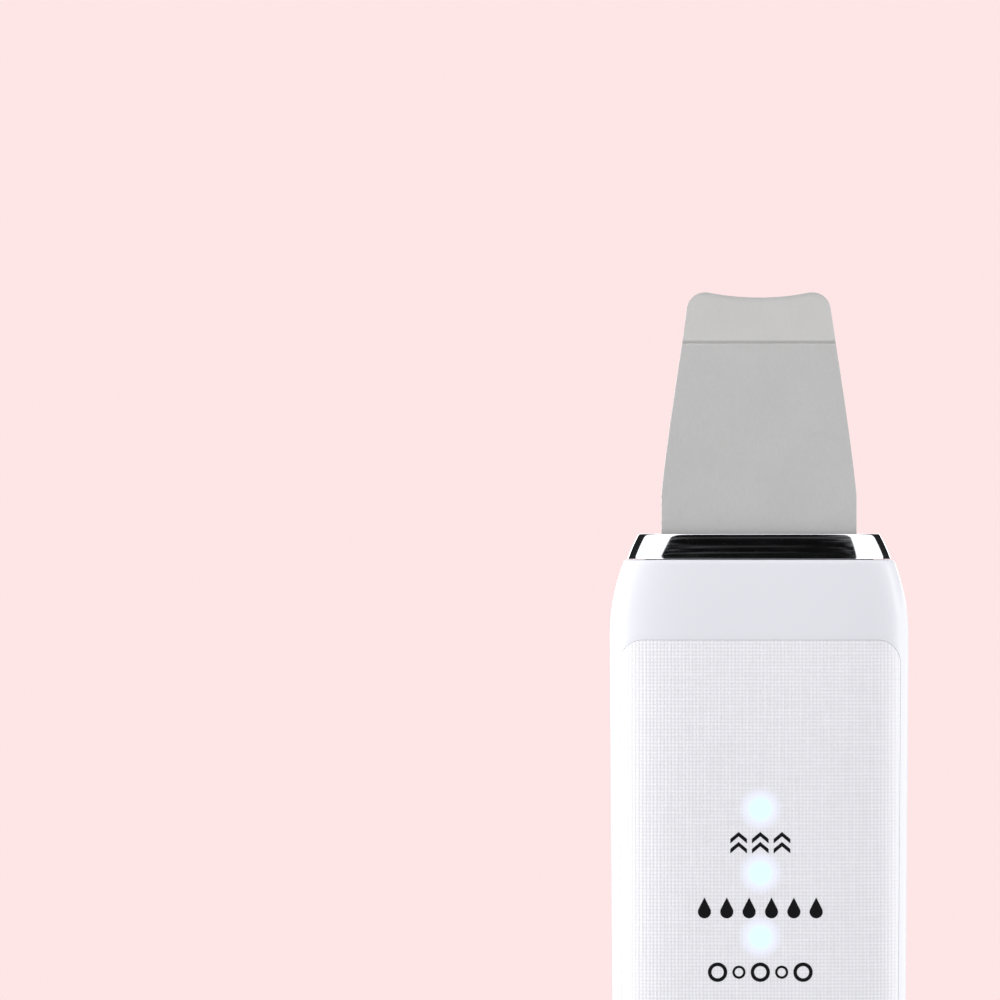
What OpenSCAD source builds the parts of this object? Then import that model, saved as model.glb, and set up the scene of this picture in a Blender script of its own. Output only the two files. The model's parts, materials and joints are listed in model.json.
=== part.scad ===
// Ultrasonic skin scrubber: a slim upright handle with a chrome collar and a bent steel blade.
// Millimetres. +Z runs up the handle to the blade, -Y is the front with the buttons and lights.
// The origin is the middle of the flat foot, and Y = 0 is the plane where the two shells meet.

/* [Handle] */
// Height of the two shells, foot to collar
body_height = 133; // [128:1:140]
// Half of the greatest width
body_half_width = 22.45; // [22:0.05:24]
// Depth of the front shell from the joint plane
front_depth = 8.6; // [8.4:0.1:9.5]
// Depth of the rear shell from the joint plane
back_depth = 9.1; // [8.9:0.1:10]
// Squareness of the cross-section, 2 is an ellipse
squareness = 4.2; // [3.4:0.1:5]
// Wall of the shells
wall = 1.8; // [1.6:0.1:2]

/* [Front panel] */
// Thickness of the inlaid panel
panel_thickness = 0.8; // [0.6:0.1:0.9]
// Distance of the panel from the edge of the handle
panel_margin = 1.25; // [1.1:0.05:1.6]
// Smooth band between the collar and the panel
panel_top_gap = 12; // [11:0.5:14]

/* [Blade] */
// Height of the collar
collar_height = 3.9; // [3.5:0.1:4.5]
// Half of the blade's width at the collar
blade_half_width = 14.7; // [14.2:0.1:15]
// Blade above the collar, measured upright to its two peaks
blade_reach = 36.3; // [34:0.1:38]
// Thickness of the blade
blade_thickness = 0.6; // [0.5:0.05:0.7]
// Lean of the bent tip towards the back, in degrees
tip_lean = 14; // [8:1:20]

/* [Controls] */
// Height of the upper light above the foot
light_top = 95.7; // [94:0.1:98]
// Distance between the lights
light_pitch = 9.6; // [9.2:0.1:9.8]
// Height of the power button
power_height = 53; // [52:1:56]
// Height of the mode button
mode_height = 34; // [32:1:36]
// Radius of each button cap
button_radius = 5.9; // [5.5:0.1:6]
// How far a button stands out of the panel
button_proud = 0.5; // [0.4:0.1:0.6]
// Travel of a button
button_travel = 0.5; // [0.3:0.1:0.5]

/* [Hidden] */
$fn = 64;

// Small distances
slip = 0.1;                 // clearance of pieces that drop into a pocket
running = 0.06;             // radial clearance of pieces that slide
thread_gap = 0.02;          // radial clearance of a screw in its pilot hole
beyond = 1;                 // how far a cutter runs past a face

// Shape of the handle along its height
taper_start = body_height - 13;
taper_slope = 0.0073;
head_run = 11;
head_side_drop = 2.2;
head_front_run = 30;
head_front_drop = 2.4;
head_back_run = 45;
head_back_drop = 2.6;
foot_run = 14;
foot_side_drop = 9.5;
foot_depth_run = 8;
foot_depth_drop = 3.6;
palm_run = 60;
palm_drop = 0.7;

// Loft rings
ring_points = 56;
cavity_points = 36;
foot_rings = 8;
middle_rings = 6;
head_rings = 8;

// Cavity
cavity_foot = 2.6;
cavity_top = body_height - 2.2;
front_wall = panel_thickness + 1.6;

// Front panel outline
panel_top = body_height - panel_top_gap;
panel_foot = 6;
panel_top_radius = 3.6;
panel_foot_radius = 9;
outline_steps = 10;

// Board
board_front = -1;
board_thickness = 1.2;
board_back = board_front + board_thickness;
board_foot = 3;
board_top = 110;
board_half_width = 16.5;
board_neck_half_width = 12.5;
board_neck_top = 22;
board_screw_places = [[-13.6, 106.5], [13.6, 106.5], [-10, 12.5], [10, 12.5]];
board_screw_radius = 1;
standoff_radius = 2.4;

// Screws that join the shells
shell_screw_places = [[-17.6, 120], [17.6, 120], [-16, 17], [16, 17]];
shell_screw_radius = 1.1;
shell_screw_head_radius = 2.3;
shell_screw_seat = 3;
shell_boss_radius = 3.1;
screw_cap_radius = 2.45;

// Collar
collar_foot = body_height + 0.12;
collar_top = body_height + collar_height;
collar_foot_size = [19.85, 5.85, 6.15];     // half width, front depth, back depth
collar_top_size = [18.1, 4.2, 4.5];
neck_half = [16.8, 3.5];                    // half width and half depth
neck_tab_half = [17.6, 3];
neck_tab_height = 1.2;
seal_half = [15.7, 2.4];

// Blade
blade_root = body_height - 21.5;
blade_root_half_width = 13.9;
blade_straight_top = collar_top + 5.7;
blade_bend = collar_top + 28.8;
blade_narrowing = 3.14;
blade_side_bow = 1.15;                      // 1 is a straight side, more is a bowed one
blade_side_steps = 8;
tip_side_slope = blade_narrowing * blade_side_bow / (blade_bend - blade_straight_top);
blade_top = collar_top + blade_reach;
tip_corner_radius = 2.8;
tip_corner_steps = 12;
tip_dip = 0.75;
tip_dip_steps = 9;
tip_peak_x = 7.5;

// Transducer
clamp_foot = blade_root + 1.6;
clamp_top = cavity_top - 1.8;
clamp_half_width = 13.9;
front_clamp_depth = 3;
rear_clamp_depth = 2.5;
clamp_screw_places = [[-11.6, 117.5], [11.6, 117.5]];
clamp_screw_radius = 1;
piezo_radius = 6.8;
piezo_thickness = 2;
piezo_height = (clamp_foot + clamp_top) / 2;

// Buttons
panel_face = -front_depth;
seat_plane = panel_face + front_wall;
cap_face = panel_face - button_proud;
bezel_outer_radius = button_radius + 1.3;
flange_radius = button_radius + 1.1;
plunger_radius = 1.7;
plunger_face = -4.9;
plunger_end = -3;
switch_face = -4;
switch_size = 6;

// Socket
socket_half = [3.8, 1.35];
socket_y = board_front - socket_half[1];
socket_mouth = 0.8;
socket_end = 6.5;

// Battery
battery_half_width = 15;
battery_front = 0.9;
battery_thickness = 5.4;
battery_foot = 26;
battery_top = 76;

// Rear electrode
electrode_half_width = 11;
electrode_foot = 38;
electrode_top = 98;
electrode_thickness = 0.8;
stud_height = 90;
stud_radius = 1.2;
stud_end = 6.2;

// Routes of the leads inside the handle, all between housings
lead_radius = 0.6;
lead_sides = 8;
battery_red_route = [[4, 3.6, 76], [4, 3.8, 77.2], [4.2, 4.1, 78.2], [5, 4.3, 79.2],
    [6.2, 3.9, 80.1], [7, 3, 80.8], [7.2, 2.4, 81.6], [7.2, 2.3, 82.4]];
battery_black_route = [[-1, 3.6, 76], [-1, 3.9, 77.3], [0, 4.6, 78.4], [3, 5.6, 79.2],
    [7, 5.4, 79.8], [9.4, 3.9, 80.6], [9.8, 2.6, 81.6], [9.8, 2.3, 82.4]];
transducer_red_route = [[-3, 1, 108], [-3, 1.4, 109.4], [-3, 2.4, 111], [-2.6, 3.4, 113],
    [-1.6, 3.8, 115.2], [-0.8, 3.9, 117.4], [-0.4, 3.7, 119.4], [0, 3.3, 121], [0, 2.9, 122.4]];
transducer_black_route = [[3, 1, 108], [3.2, 1.5, 109], [3.9, 2, 110], [5.2, 1.9, 111],
    [6.5, 1.3, 112], [7.2, 0.9, 112.8]];

// ---------------------------------------------------------------- shape of the handle

function within_one(t) = max(0, min(1, t));
function arc_sag(t) = 1 - sqrt(1 - pow(within_one(t), 2));
function signed_power(value, power) = sign(value) * pow(abs(value), power);
function from_head(z, run) = within_one(1 - (body_height - z) / run);
function from_foot(z, run) = within_one(1 - z / run);

function half_width_at(z) = body_half_width - taper_slope * max(0, taper_start - z)
    - head_side_drop * pow(from_head(z, head_run), 2) - foot_side_drop * arc_sag(from_foot(z, foot_run));
function front_at(z) = front_depth - head_front_drop * pow(from_head(z, head_front_run), 2)
    - foot_depth_drop * arc_sag(from_foot(z, foot_depth_run));
function back_at(z) = back_depth - head_back_drop * pow(from_head(z, head_back_run), 2)
    - palm_drop * pow(from_foot(z, palm_run), 2) - foot_depth_drop * arc_sag(from_foot(z, foot_depth_run));
function size_at(z, inset) = [half_width_at(z) - inset[0], front_at(z) - inset[1], back_at(z) - inset[2]];

// Heights of the rings, closer together at the foot and the head
function ring_heights(z0, z1) = concat(
    [for (i = [0 : foot_rings - 1]) z0 + (foot_run + 1 - z0) * (1 - cos(90 * i / foot_rings))],
    [for (i = [0 : middle_rings]) foot_run + 1 + (z1 - head_front_run - foot_run - 1) * i / middle_rings],
    [for (i = [1 : head_rings]) z1 - head_front_run + head_front_run * sin(90 * i / head_rings)]);

// One ring of points, anticlockwise seen from above. size is [half width, front depth, back depth].
function ring(size, z, from, to, steps) = [for (i = [0 : steps]) let (
        turn = from + (to - from) * i / steps,
        depth = sin(turn) < 0 ? size[1] : size[2])
    [size[0] * signed_power(cos(turn), 2 / squareness),
        depth * signed_power(sin(turn), 2 / squareness), z]];

function closed_ring(size, z, points) = ring(size, z, 0, 360 * (1 - 1 / points), points - 1);

// A closed solid through a list of rings that all have the same number of points
module loft_rings(rings) {
    count = len(rings[0]);
    last = len(rings) - 1;
    points = [for (one = rings) for (point = one) point];
    sides = [for (k = [0 : last - 1]) for (i = [0 : count - 1]) let (j = (i + 1) % count)
        for (face = [[k * count + i, (k + 1) * count + i, (k + 1) * count + j],
            [k * count + i, (k + 1) * count + j, k * count + j]]) face];
    foot_face = [for (i = [0 : count - 1]) i];
    top_face = [for (i = [count - 1 : -1 : 0]) last * count + i];
    polyhedron(points = points, faces = concat(sides, [foot_face, top_face]), convexity = 6);
}

// The handle's solid, pulled in by inset = [sides, front, back]
module handle_solid(inset, z0 = 0, z1 = body_height, points = ring_points) {
    loft_rings([for (z = ring_heights(z0, z1)) closed_ring(size_at(z, inset), z, points)]);
}

// Half of the handle's solid: the front from 180 to 360 degrees, the back from 0 to 180
module handle_half(from) {
    loft_rings([for (z = ring_heights(0, body_height))
        ring(size_at(z, [0, 0, 0]), z, from, from + 180, ring_points / 2)]);
}

module cavity() {
    handle_solid([wall, front_wall, wall], cavity_foot, cavity_top, cavity_points);
}

// ---------------------------------------------------------------- plain building shapes

module rod_y(radius, y0, y1, x = 0, z = 0) {
    translate([x, y0, z]) rotate([-90, 0, 0]) cylinder(r = radius, h = y1 - y0);
}

module block(x0, x1, y0, y1, z0, z1) {
    translate([x0, y0, z0]) cube([x1 - x0, y1 - y0, z1 - z0]);
}

// A flat outline in X and Z, given depth from y0 to y1
module slab_y(y0, y1) {
    translate([0, y1, 0]) rotate([90, 0, 0]) linear_extrude(y1 - y0) children();
}

module rounded_rectangle(half_width, half_height, radius) {
    square([2 * half_width - 2 * radius, 2 * half_height], center = true);
    square([2 * half_width, 2 * half_height - 2 * radius], center = true);
    for (sx = [-1, 1], sy = [-1, 1])
        translate([sx * (half_width - radius), sy * (half_height - radius)]) circle(r = radius);
}

function arc_points(centre, radius, from, to, steps) = [for (i = [0 : steps])
    let (turn = from + (to - from) * i / steps) centre + radius * [cos(turn), sin(turn)]];

function mirrored(points) = concat(points,
    [for (i = [len(points) - 1 : -1 : 0]) [-points[i][0], points[i][1]]]);

// ---------------------------------------------------------------- shells and panel

// How far into the panel's rounded top and foot a height is, 0 to 1
function panel_top_share(z) = within_one(1 - (panel_top - z) / panel_top_radius);
function panel_foot_share(z) = from_foot(z - panel_foot, panel_foot_radius);

function panel_half_width_at(z) = half_width_at(z) - panel_margin
    - panel_top_radius * arc_sag(panel_top_share(z)) - panel_foot_radius * arc_sag(panel_foot_share(z));

function panel_heights() = concat(
    [for (i = [0 : outline_steps]) panel_foot + panel_foot_radius * (1 - cos(90 * i / outline_steps))],
    [for (i = [1 : 3]) panel_foot + panel_foot_radius
        + (panel_top - panel_top_radius - panel_foot - panel_foot_radius) * i / 4],
    [for (i = [0 : outline_steps])
        panel_top - panel_top_radius + panel_top_radius * sin(90 * i / outline_steps)]);

module panel_outline(grow = 0) {
    polygon(mirrored([for (z = panel_heights())
        [panel_half_width_at(z) + grow, z + grow * (panel_top_share(z) - panel_foot_share(z))]]));
}

module electrode_outline(grow = 0) {
    translate([0, (electrode_foot + electrode_top) / 2])
        rounded_rectangle(electrode_half_width + grow, (electrode_top - electrode_foot) / 2 + grow, 8 + grow);
}

module front_shell() {
    color("white") difference() {
        union() {
            difference() {
                handle_half(180);
                cavity();
            }
            for (place = board_screw_places)
                rod_y(standoff_radius, seat_plane - 0.5, board_front, place[0], place[1]);
            for (place = shell_screw_places)
                rod_y(shell_boss_radius, -5.4, 0, place[0], place[1]);
            for (place = clamp_screw_places)
                rod_y(standoff_radius, -6.2, -blade_thickness / 2 - front_clamp_depth, place[0], place[1]);
        }
        difference() {
            slab_y(panel_face - beyond, -beyond) panel_outline(slip);
            handle_solid([panel_thickness, panel_thickness, 0]);
        }
        for (place = board_screw_places)
            rod_y(board_screw_radius + thread_gap, -5, beyond, place[0], place[1]);
        for (place = shell_screw_places)
            rod_y(shell_screw_radius + thread_gap, -4.6, beyond, place[0], place[1]);
        for (place = clamp_screw_places)
            rod_y(clamp_screw_radius + thread_gap, -5.2, 0, place[0], place[1]);
        for (i = [0 : 2]) rod_y(1.9, panel_face - beyond, -5, 0, light_top - i * light_pitch);
        for (z = [power_height, mode_height]) {
            rod_y(bezel_outer_radius - 0.6, panel_face - beyond, -5, 0, z);
            rod_y(flange_radius + 0.8, seat_plane, -5, 0, z);
        }
        block(-neck_half[0], neck_half[0], -neck_half[1], beyond, cavity_top - beyond, body_height + beyond);
        translate([0, socket_y, -beyond]) linear_extrude(cavity_foot + 2 * beyond)
            rounded_rectangle(4.3, 1.65, 0.9);
    }
}

module rear_shell() {
    color("white") difference() {
        union() {
            difference() {
                handle_half(0);
                cavity();
                difference() {
                    slab_y(beyond, back_depth + beyond) electrode_outline(slip);
                    handle_solid([0, 0, electrode_thickness]);
                }
            }
            for (place = shell_screw_places) rod_y(shell_boss_radius, 0, 5.6, place[0], place[1]);
        }
        for (place = shell_screw_places) {
            rod_y(shell_screw_radius + 0.3, -beyond, back_depth, place[0], place[1]);
            rod_y(shell_screw_head_radius + 0.2, shell_screw_seat, back_depth + beyond, place[0], place[1]);
        }
        rod_y(stud_radius + 0.2, 5, back_depth, 0, stud_height);
        block(-neck_half[0], neck_half[0], -beyond, neck_half[1], cavity_top - beyond, body_height + beyond);
    }
}

module front_panel() {
    color("whitesmoke") difference() {
        intersection() {
            handle_half(180);
            slab_y(panel_face - beyond, -beyond) panel_outline();
        }
        handle_solid([panel_thickness, panel_thickness, 0]);
        for (z = [power_height, mode_height])
            rod_y(bezel_outer_radius + 0.05, panel_face - beyond, 0, 0, z);
    }
}

// A cap keeps to the curve of the rear shell and fills the mouth of a screw hole
module screw_caps() {
    color("white") intersection() {
        handle_half(0);
        for (place = shell_screw_places)
            rod_y(screw_cap_radius, shell_screw_seat + 2, back_depth + beyond, place[0], place[1]);
    }
}

// A cross-head screw pointing at the front. place is [x, z] and seat is the face its head rests on.
module self_tapper(place, seat, radius, head_radius, head_height, length) {
    rod_y(radius, seat - length, seat, place[0], place[1]);
    difference() {
        rod_y(head_radius, seat, seat + head_height, place[0], place[1]);
        for (turn = [0, 90]) translate([place[0], seat + head_height, place[1]]) rotate([0, turn, 0])
            cube([head_radius * 1.2, head_height, head_radius * 0.3], center = true);
    }
}

module shell_screws() {
    color("silver") for (place = shell_screw_places)
        self_tapper(place, shell_screw_seat, shell_screw_radius, shell_screw_head_radius, 1.6, 7.4);
}

// ---------------------------------------------------------------- collar, blade and transducer

// The collar's neck drops through the slot between the shells, and its two tabs hook under their top wall
module head_collar() {
    neck_foot = cavity_top - slip - neck_tab_height;
    color("lightgray") difference() {
        union() {
            loft_rings([closed_ring(collar_foot_size, collar_foot, ring_points),
                closed_ring(collar_foot_size, collar_foot + 0.35, ring_points),
                closed_ring(collar_top_size, collar_top, ring_points)]);
            block(-neck_half[0] + slip, neck_half[0] - slip, -neck_half[1] + slip, neck_half[1] - slip,
                neck_foot, collar_foot + beyond);
            block(-neck_tab_half[0], neck_tab_half[0], -neck_tab_half[1], neck_tab_half[1],
                neck_foot, neck_foot + neck_tab_height);
        }
        block(-seal_half[0] - 0.05, seal_half[0] + 0.05, -seal_half[1] - 0.05, seal_half[1] + 0.05,
            neck_foot - beyond, collar_top + beyond);
    }
}

function blade_half_at(z) = blade_half_width - blade_narrowing
    * pow(within_one((z - blade_straight_top) / (blade_bend - blade_straight_top)), blade_side_bow);

// One side of the blade seen from the front: the root, the narrowing edge, the corner and half of the dip
function blade_side() = let (
        dip_radius = (pow(tip_peak_x, 2) + pow(tip_dip, 2)) / (2 * tip_dip),
        slope = asin(tip_peak_x / dip_radius),
        corner = [tip_peak_x, blade_top] + tip_corner_radius * [sin(slope), -cos(slope)])
    concat(
        [[blade_root_half_width, blade_root], [blade_root_half_width, clamp_top],
            [blade_half_width, clamp_top + 0.8]],
        [for (i = [0 : blade_side_steps])
            let (z = blade_straight_top + (blade_bend - blade_straight_top) * i / blade_side_steps)
            [blade_half_at(z), z]],
        arc_points(corner, tip_corner_radius, atan(tip_side_slope), 90 + slope, tip_corner_steps),
        arc_points([0, blade_top - tip_dip + dip_radius], dip_radius, -90 + slope * 0.9, -90, tip_dip_steps));

// The bent strip seen from the side, in Y and Z, with a mitre at the bend
function blade_profile() = let (
        half = blade_thickness / 2,
        mitre = half * tan(tip_lean / 2),
        across = half * [cos(tip_lean), -sin(tip_lean)],
        end = [0, blade_bend] + blade_reach * [sin(tip_lean), cos(tip_lean)])
    [[-half, blade_root], [half, blade_root], [half, blade_bend - mitre], end + across, end - across,
        [-half, blade_bend + mitre]];

module blade() {
    color("silver") difference() {
        intersection() {
            slab_y(-blade_half_width, blade_half_width) polygon(mirrored(blade_side()));
            translate([-blade_half_width - beyond, 0, 0]) rotate([90, 0, 90])
                linear_extrude(2 * blade_half_width + 2 * beyond) polygon(blade_profile());
        }
        for (place = clamp_screw_places)
            rod_y(clamp_screw_radius + 0.3, -beyond, beyond, place[0], place[1]);
    }
}

module blade_seal() {
    color("dimgray") difference() {
        block(-seal_half[0], seal_half[0], -seal_half[1], seal_half[1], clamp_top + 0.1, collar_top - 0.3);
        block(-blade_half_width - 0.02, blade_half_width + 0.02, -blade_thickness / 2 - 0.02,
            blade_thickness / 2 + 0.02, clamp_top - beyond, collar_top + beyond);
    }
}

module clamp_plate(y0, y1) {
    block(-clamp_half_width, clamp_half_width, y0, y1, clamp_foot, clamp_top);
}

module front_clamp() {
    color("gray") difference() {
        clamp_plate(-blade_thickness / 2 - front_clamp_depth, -blade_thickness / 2);
        for (place = clamp_screw_places) rod_y(clamp_screw_radius + 0.1, -5, beyond, place[0], place[1]);
        rod_y(piezo_radius, -blade_thickness / 2 - 1.2, 0, 0, piezo_height);
    }
}

module rear_clamp() {
    color("gray") difference() {
        clamp_plate(blade_thickness / 2, blade_thickness / 2 + rear_clamp_depth);
        for (place = clamp_screw_places) rod_y(clamp_screw_radius + 0.2, -beyond, 4, place[0], place[1]);
        rod_y(piezo_radius + 0.2, -beyond, 4, 0, piezo_height);
    }
}

module clamp_screws() {
    color("silver") for (place = clamp_screw_places)
        self_tapper(place, blade_thickness / 2 + rear_clamp_depth, clamp_screw_radius, 1.9, 1.3, 7.4);
}

module piezo_disc() {
    color("goldenrod") {
        rod_y(piezo_radius, blade_thickness / 2, blade_thickness / 2 + piezo_thickness, 0, piezo_height);
    }
}

module piezo_damper() {
    face = blade_thickness / 2 + piezo_thickness;
    color("darkslategray") difference() {
        rod_y(piezo_radius - 0.3, face, face + 2.9, 0, piezo_height);
        rod_y(2.6, 0, 8, 0, piezo_height);
        block(-2.6, 2.6, 0, 8, clamp_foot - beyond, piezo_height);
    }
}

// ---------------------------------------------------------------- board and what is on it

module main_board() {
    color("green") difference() {
        slab_y(board_front, board_back) {
            translate([0, (board_neck_top + board_top) / 2])
                rounded_rectangle(board_half_width, (board_top - board_neck_top) / 2, 1.5);
            translate([0, (board_foot + board_neck_top + 4) / 2])
                rounded_rectangle(board_neck_half_width, (board_neck_top + 4 - board_foot) / 2, 1.5);
        }
        for (place = board_screw_places) rod_y(board_screw_radius + 0.3, -2, 2, place[0], place[1]);
    }
}

module board_screws() {
    color("silver") for (place = board_screw_places)
        self_tapper(place, board_back, board_screw_radius, 1.9, 1.2, 4.8);
}

// A chip with a row of legs on each long side, lying on the board's front
module chip(x, z, half_width, half_height, height, legs) {
    body_face = board_front - 0.25;
    leg_reach = half_width + 0.9;
    block(x - half_width, x + half_width, body_face - height, body_face, z - half_height, z + half_height);
    for (i = [0 : legs - 1]) {
        leg_z = z - half_height + 2 * half_height * (i + 0.5) / legs;
        for (ends = [[-leg_reach, -half_width], [half_width, leg_reach]])
            block(x + ends[0], x + ends[1], board_front - 0.75, board_front, leg_z - 0.2, leg_z + 0.2);
    }
}

module microcontroller() {
    color("black") chip(9.6, 84, 2, 5, 1.4, 8);
}

module charge_controller() {
    color("black") chip(-7.4, 20.5, 2, 2.5, 1.4, 4);
}

// The ferrite core is an E shape round the coil
module transformer_core() {
    color("darkslategray") difference() {
        block(-7.5, 5.5, board_back, board_back + 6.2, 93, 105);
        block(-5.3, 3.5, board_back + 1.5, board_back + 7, 94.9, 103.1);
    }
}

module transformer_coil() {
    color("peru") block(-5.1, 3.3, board_back + 1.5, board_back + 5.6, 95.1, 102.9);
}

module drive_transistor() {
    color("black") {
        block(-14.2, -10.8, board_back, board_back + 1.6, 84, 90.4);
        block(-10.8, -9, board_back, board_back + 0.4, 85.6, 88.8);
    }
}

module reservoir_capacitor() {
    color("navy") translate([10.6, board_back + 3.1, 92]) cylinder(r = 3.1, h = 11);
}

module choke_coil() {
    color("dimgray") difference() {
        block(-15.8, -9.8, board_back, board_back + 3.4, 93, 99);
        rod_y(1.6, board_back + 2.8, board_back + 5, -12.8, 96);
    }
}

// Small resistors and capacitors in two rows beside the lights
module chip_parts() {
    color("saddlebrown") for (x = [-12, -8], i = [0 : 4])
        block(x - 0.8, x + 0.8, board_front - 0.6, board_front, 74 + 5 * i, 74.9 + 5 * i);
}

module indicator_led(index) {
    z = light_top - index * light_pitch;
    color("ivory") block(-1.5, 1.5, board_front - 1.3, board_front, z - 1, z + 1);
}

module light_pipe(index) {
    z = light_top - index * light_pitch;
    color("azure") {
        rod_y(1.85, panel_face + panel_thickness + 0.02, -4.2, 0, z);
        rod_y(2.1, seat_plane + 0.05, -5.4, 0, z);
    }
}

module light_shroud() {
    color("black") difference() {
        block(-3.6, 3.6, seat_plane + 0.15, board_front, light_top - 2 * light_pitch - 3.6, light_top + 3.6);
        for (i = [0 : 2]) rod_y(2.2, seat_plane - beyond, 0, 0, light_top - i * light_pitch);
    }
}

module switch_housing(z) {
    half = switch_size / 2;
    color("black") difference() {
        block(-half, half, switch_face, board_front, z - half, z + half);
        rod_y(plunger_radius + running, switch_face - beyond, plunger_end + button_travel + 0.1, 0, z);
    }
}

module switch_plunger(z) {
    color("dimgray") rod_y(plunger_radius, plunger_face, plunger_end, 0, z);
}

// The cap is a shallow dish with a flange that holds it in, and a stem that meets the plunger
module button_cap(z) {
    dish_radius = 30;
    color("silver") difference() {
        union() {
            rod_y(button_radius, cap_face, seat_plane + 0.4, 0, z);
            rod_y(flange_radius, seat_plane + 0.05, seat_plane + 0.75, 0, z);
            rod_y(2, seat_plane, plunger_face, 0, z);
        }
        translate([0, cap_face + 0.35 - dish_radius, z]) sphere(r = dish_radius);
    }
}

module button_bezel(z) {
    color("lightgray") difference() {
        union() {
            rod_y(bezel_outer_radius, panel_face - 0.15, panel_face + panel_thickness, 0, z);
            rod_y(bezel_outer_radius - 0.65, panel_face + 0.5, seat_plane - 0.05, 0, z);
        }
        rod_y(button_radius + running, panel_face - beyond, 0, 0, z);
    }
}

module usb_socket_shell() {
    color("silver") translate([0, socket_y, socket_mouth])
        linear_extrude(socket_end - socket_mouth) difference() {
            rounded_rectangle(socket_half[0], socket_half[1], 0.6);
            rounded_rectangle(socket_half[0] - 0.3, socket_half[1] - 0.3, 0.3);
        }
}

module usb_socket_tongue() {
    color("black") {
        translate([0, socket_y, socket_end - 1.4]) linear_extrude(1.4)
            rounded_rectangle(socket_half[0] - 0.32, socket_half[1] - 0.32, 0.3);
        block(-1.9, 1.9, socket_y - 0.1, socket_y + 0.5, socket_mouth + 0.7, socket_end - beyond);
    }
}

// ---------------------------------------------------------------- battery, leads and electrode

module battery_cell() {
    color("lightsteelblue") {
        slab_y(battery_front, battery_front + battery_thickness)
            translate([0, (battery_foot + battery_top - 2) / 2])
                rounded_rectangle(battery_half_width, (battery_top - 2 - battery_foot) / 2, 2);
        block(-battery_half_width + 2, battery_half_width - 2, battery_front + 1.6, battery_front + 4,
            battery_top - 3, battery_top);
    }
}

module battery_pad() {
    color("gray") block(-11, 11, board_back, battery_front, battery_foot + 6, battery_top - 8);
}

module battery_header() {
    color("ivory") block(5.4, 11.6, board_back, board_back + 4, 82.4, 87.4);
}

// Unit direction of a route at one of its points, from its two neighbours
function heading(route, i) =
    let (step = route[min(i + 1, len(route) - 1)] - route[max(i - 1, 0)]) step / norm(step);

// Every route climbs, so its rings can all be set out from the X axis
module lead(route) {
    loft_rings([for (i = [0 : len(route) - 1]) let (
            ahead = i == 0 || i == len(route) - 1 ? [0, 0, 1] : heading(route, i),
            side_raw = cross([0, 1, 0], ahead),
            side = side_raw / norm(side_raw),
            rise = cross(ahead, side))
        [for (k = [0 : lead_sides - 1]) let (turn = 360 * k / lead_sides)
            route[i] + lead_radius * (cos(turn) * side + sin(turn) * rise)]]);
}

module battery_lead_red() {
    color("red") lead(battery_red_route);
}

module battery_lead_black() {
    color("black") lead(battery_black_route);
}

module transducer_lead_red() {
    color("red") lead(transducer_red_route);
}

module transducer_lead_black() {
    color("black") lead(transducer_black_route);
}

module rear_electrode() {
    color("silver") {
        difference() {
            intersection() {
                handle_half(0);
                slab_y(beyond, back_depth + beyond) electrode_outline();
            }
            handle_solid([0, 0, electrode_thickness]);
        }
        rod_y(stud_radius, stud_end, back_depth - 0.5, 0, stud_height);
    }
}

// A bent leaf that carries the electrode's stud back to the board
module electrode_spring() {
    reach = stud_end - 0.3;
    color("orange") translate([-1.5, 0, 0]) rotate([90, 0, 90]) linear_extrude(3) polygon([
        [board_back, 80], [board_back, 85], [reach, 88.6], [reach, 91.4], [stud_end, 91.4], [stud_end, 88.4],
        [board_back + 0.3, 84.8], [board_back + 0.3, 80]]);
}

front_shell();
rear_shell();
front_panel();
head_collar();
blade();
blade_seal();
front_clamp();
rear_clamp();
clamp_screws();
piezo_disc();
piezo_damper();
main_board();
microcontroller();
charge_controller();
transformer_core();
transformer_coil();
drive_transistor();
reservoir_capacitor();
choke_coil();
chip_parts();
indicator_led(0);  // indicator_led_1
indicator_led(1);  // indicator_led_2
indicator_led(2);  // indicator_led_3
light_pipe(0);  // light_pipe_1
light_pipe(1);  // light_pipe_2
light_pipe(2);  // light_pipe_3
light_shroud();
switch_housing(power_height);  // power_switch_housing
switch_housing(mode_height);  // mode_switch_housing
usb_socket_shell();
usb_socket_tongue();
battery_cell();
battery_pad();
battery_header();
battery_lead_red();
battery_lead_black();
transducer_lead_red();
transducer_lead_black();
rear_electrode();
electrode_spring();
shell_screws();
screw_caps();
board_screws();
button_bezel(power_height);  // power_bezel
button_bezel(mode_height);  // mode_bezel
button_cap(power_height);  // power_button_cap
switch_plunger(power_height);  // power_switch_plunger
button_cap(mode_height);  // mode_button_cap
switch_plunger(mode_height);  // mode_switch_plunger
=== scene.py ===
"""The looks of the ultrasonic skin scrubber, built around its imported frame.

The frame's axes hold throughout: +Z runs up the handle to the blade, and -Y is the front. The object's
sizes are kept in millimetres, and turned into metres by MM where a mesh or a texture is made. The studio's
places and sizes are in metres.
"""

import json
import logging
import math
from abc import ABC, abstractmethod
from collections.abc import Callable, Sequence
from dataclasses import dataclass
from enum import Enum
from typing import ClassVar

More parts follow.
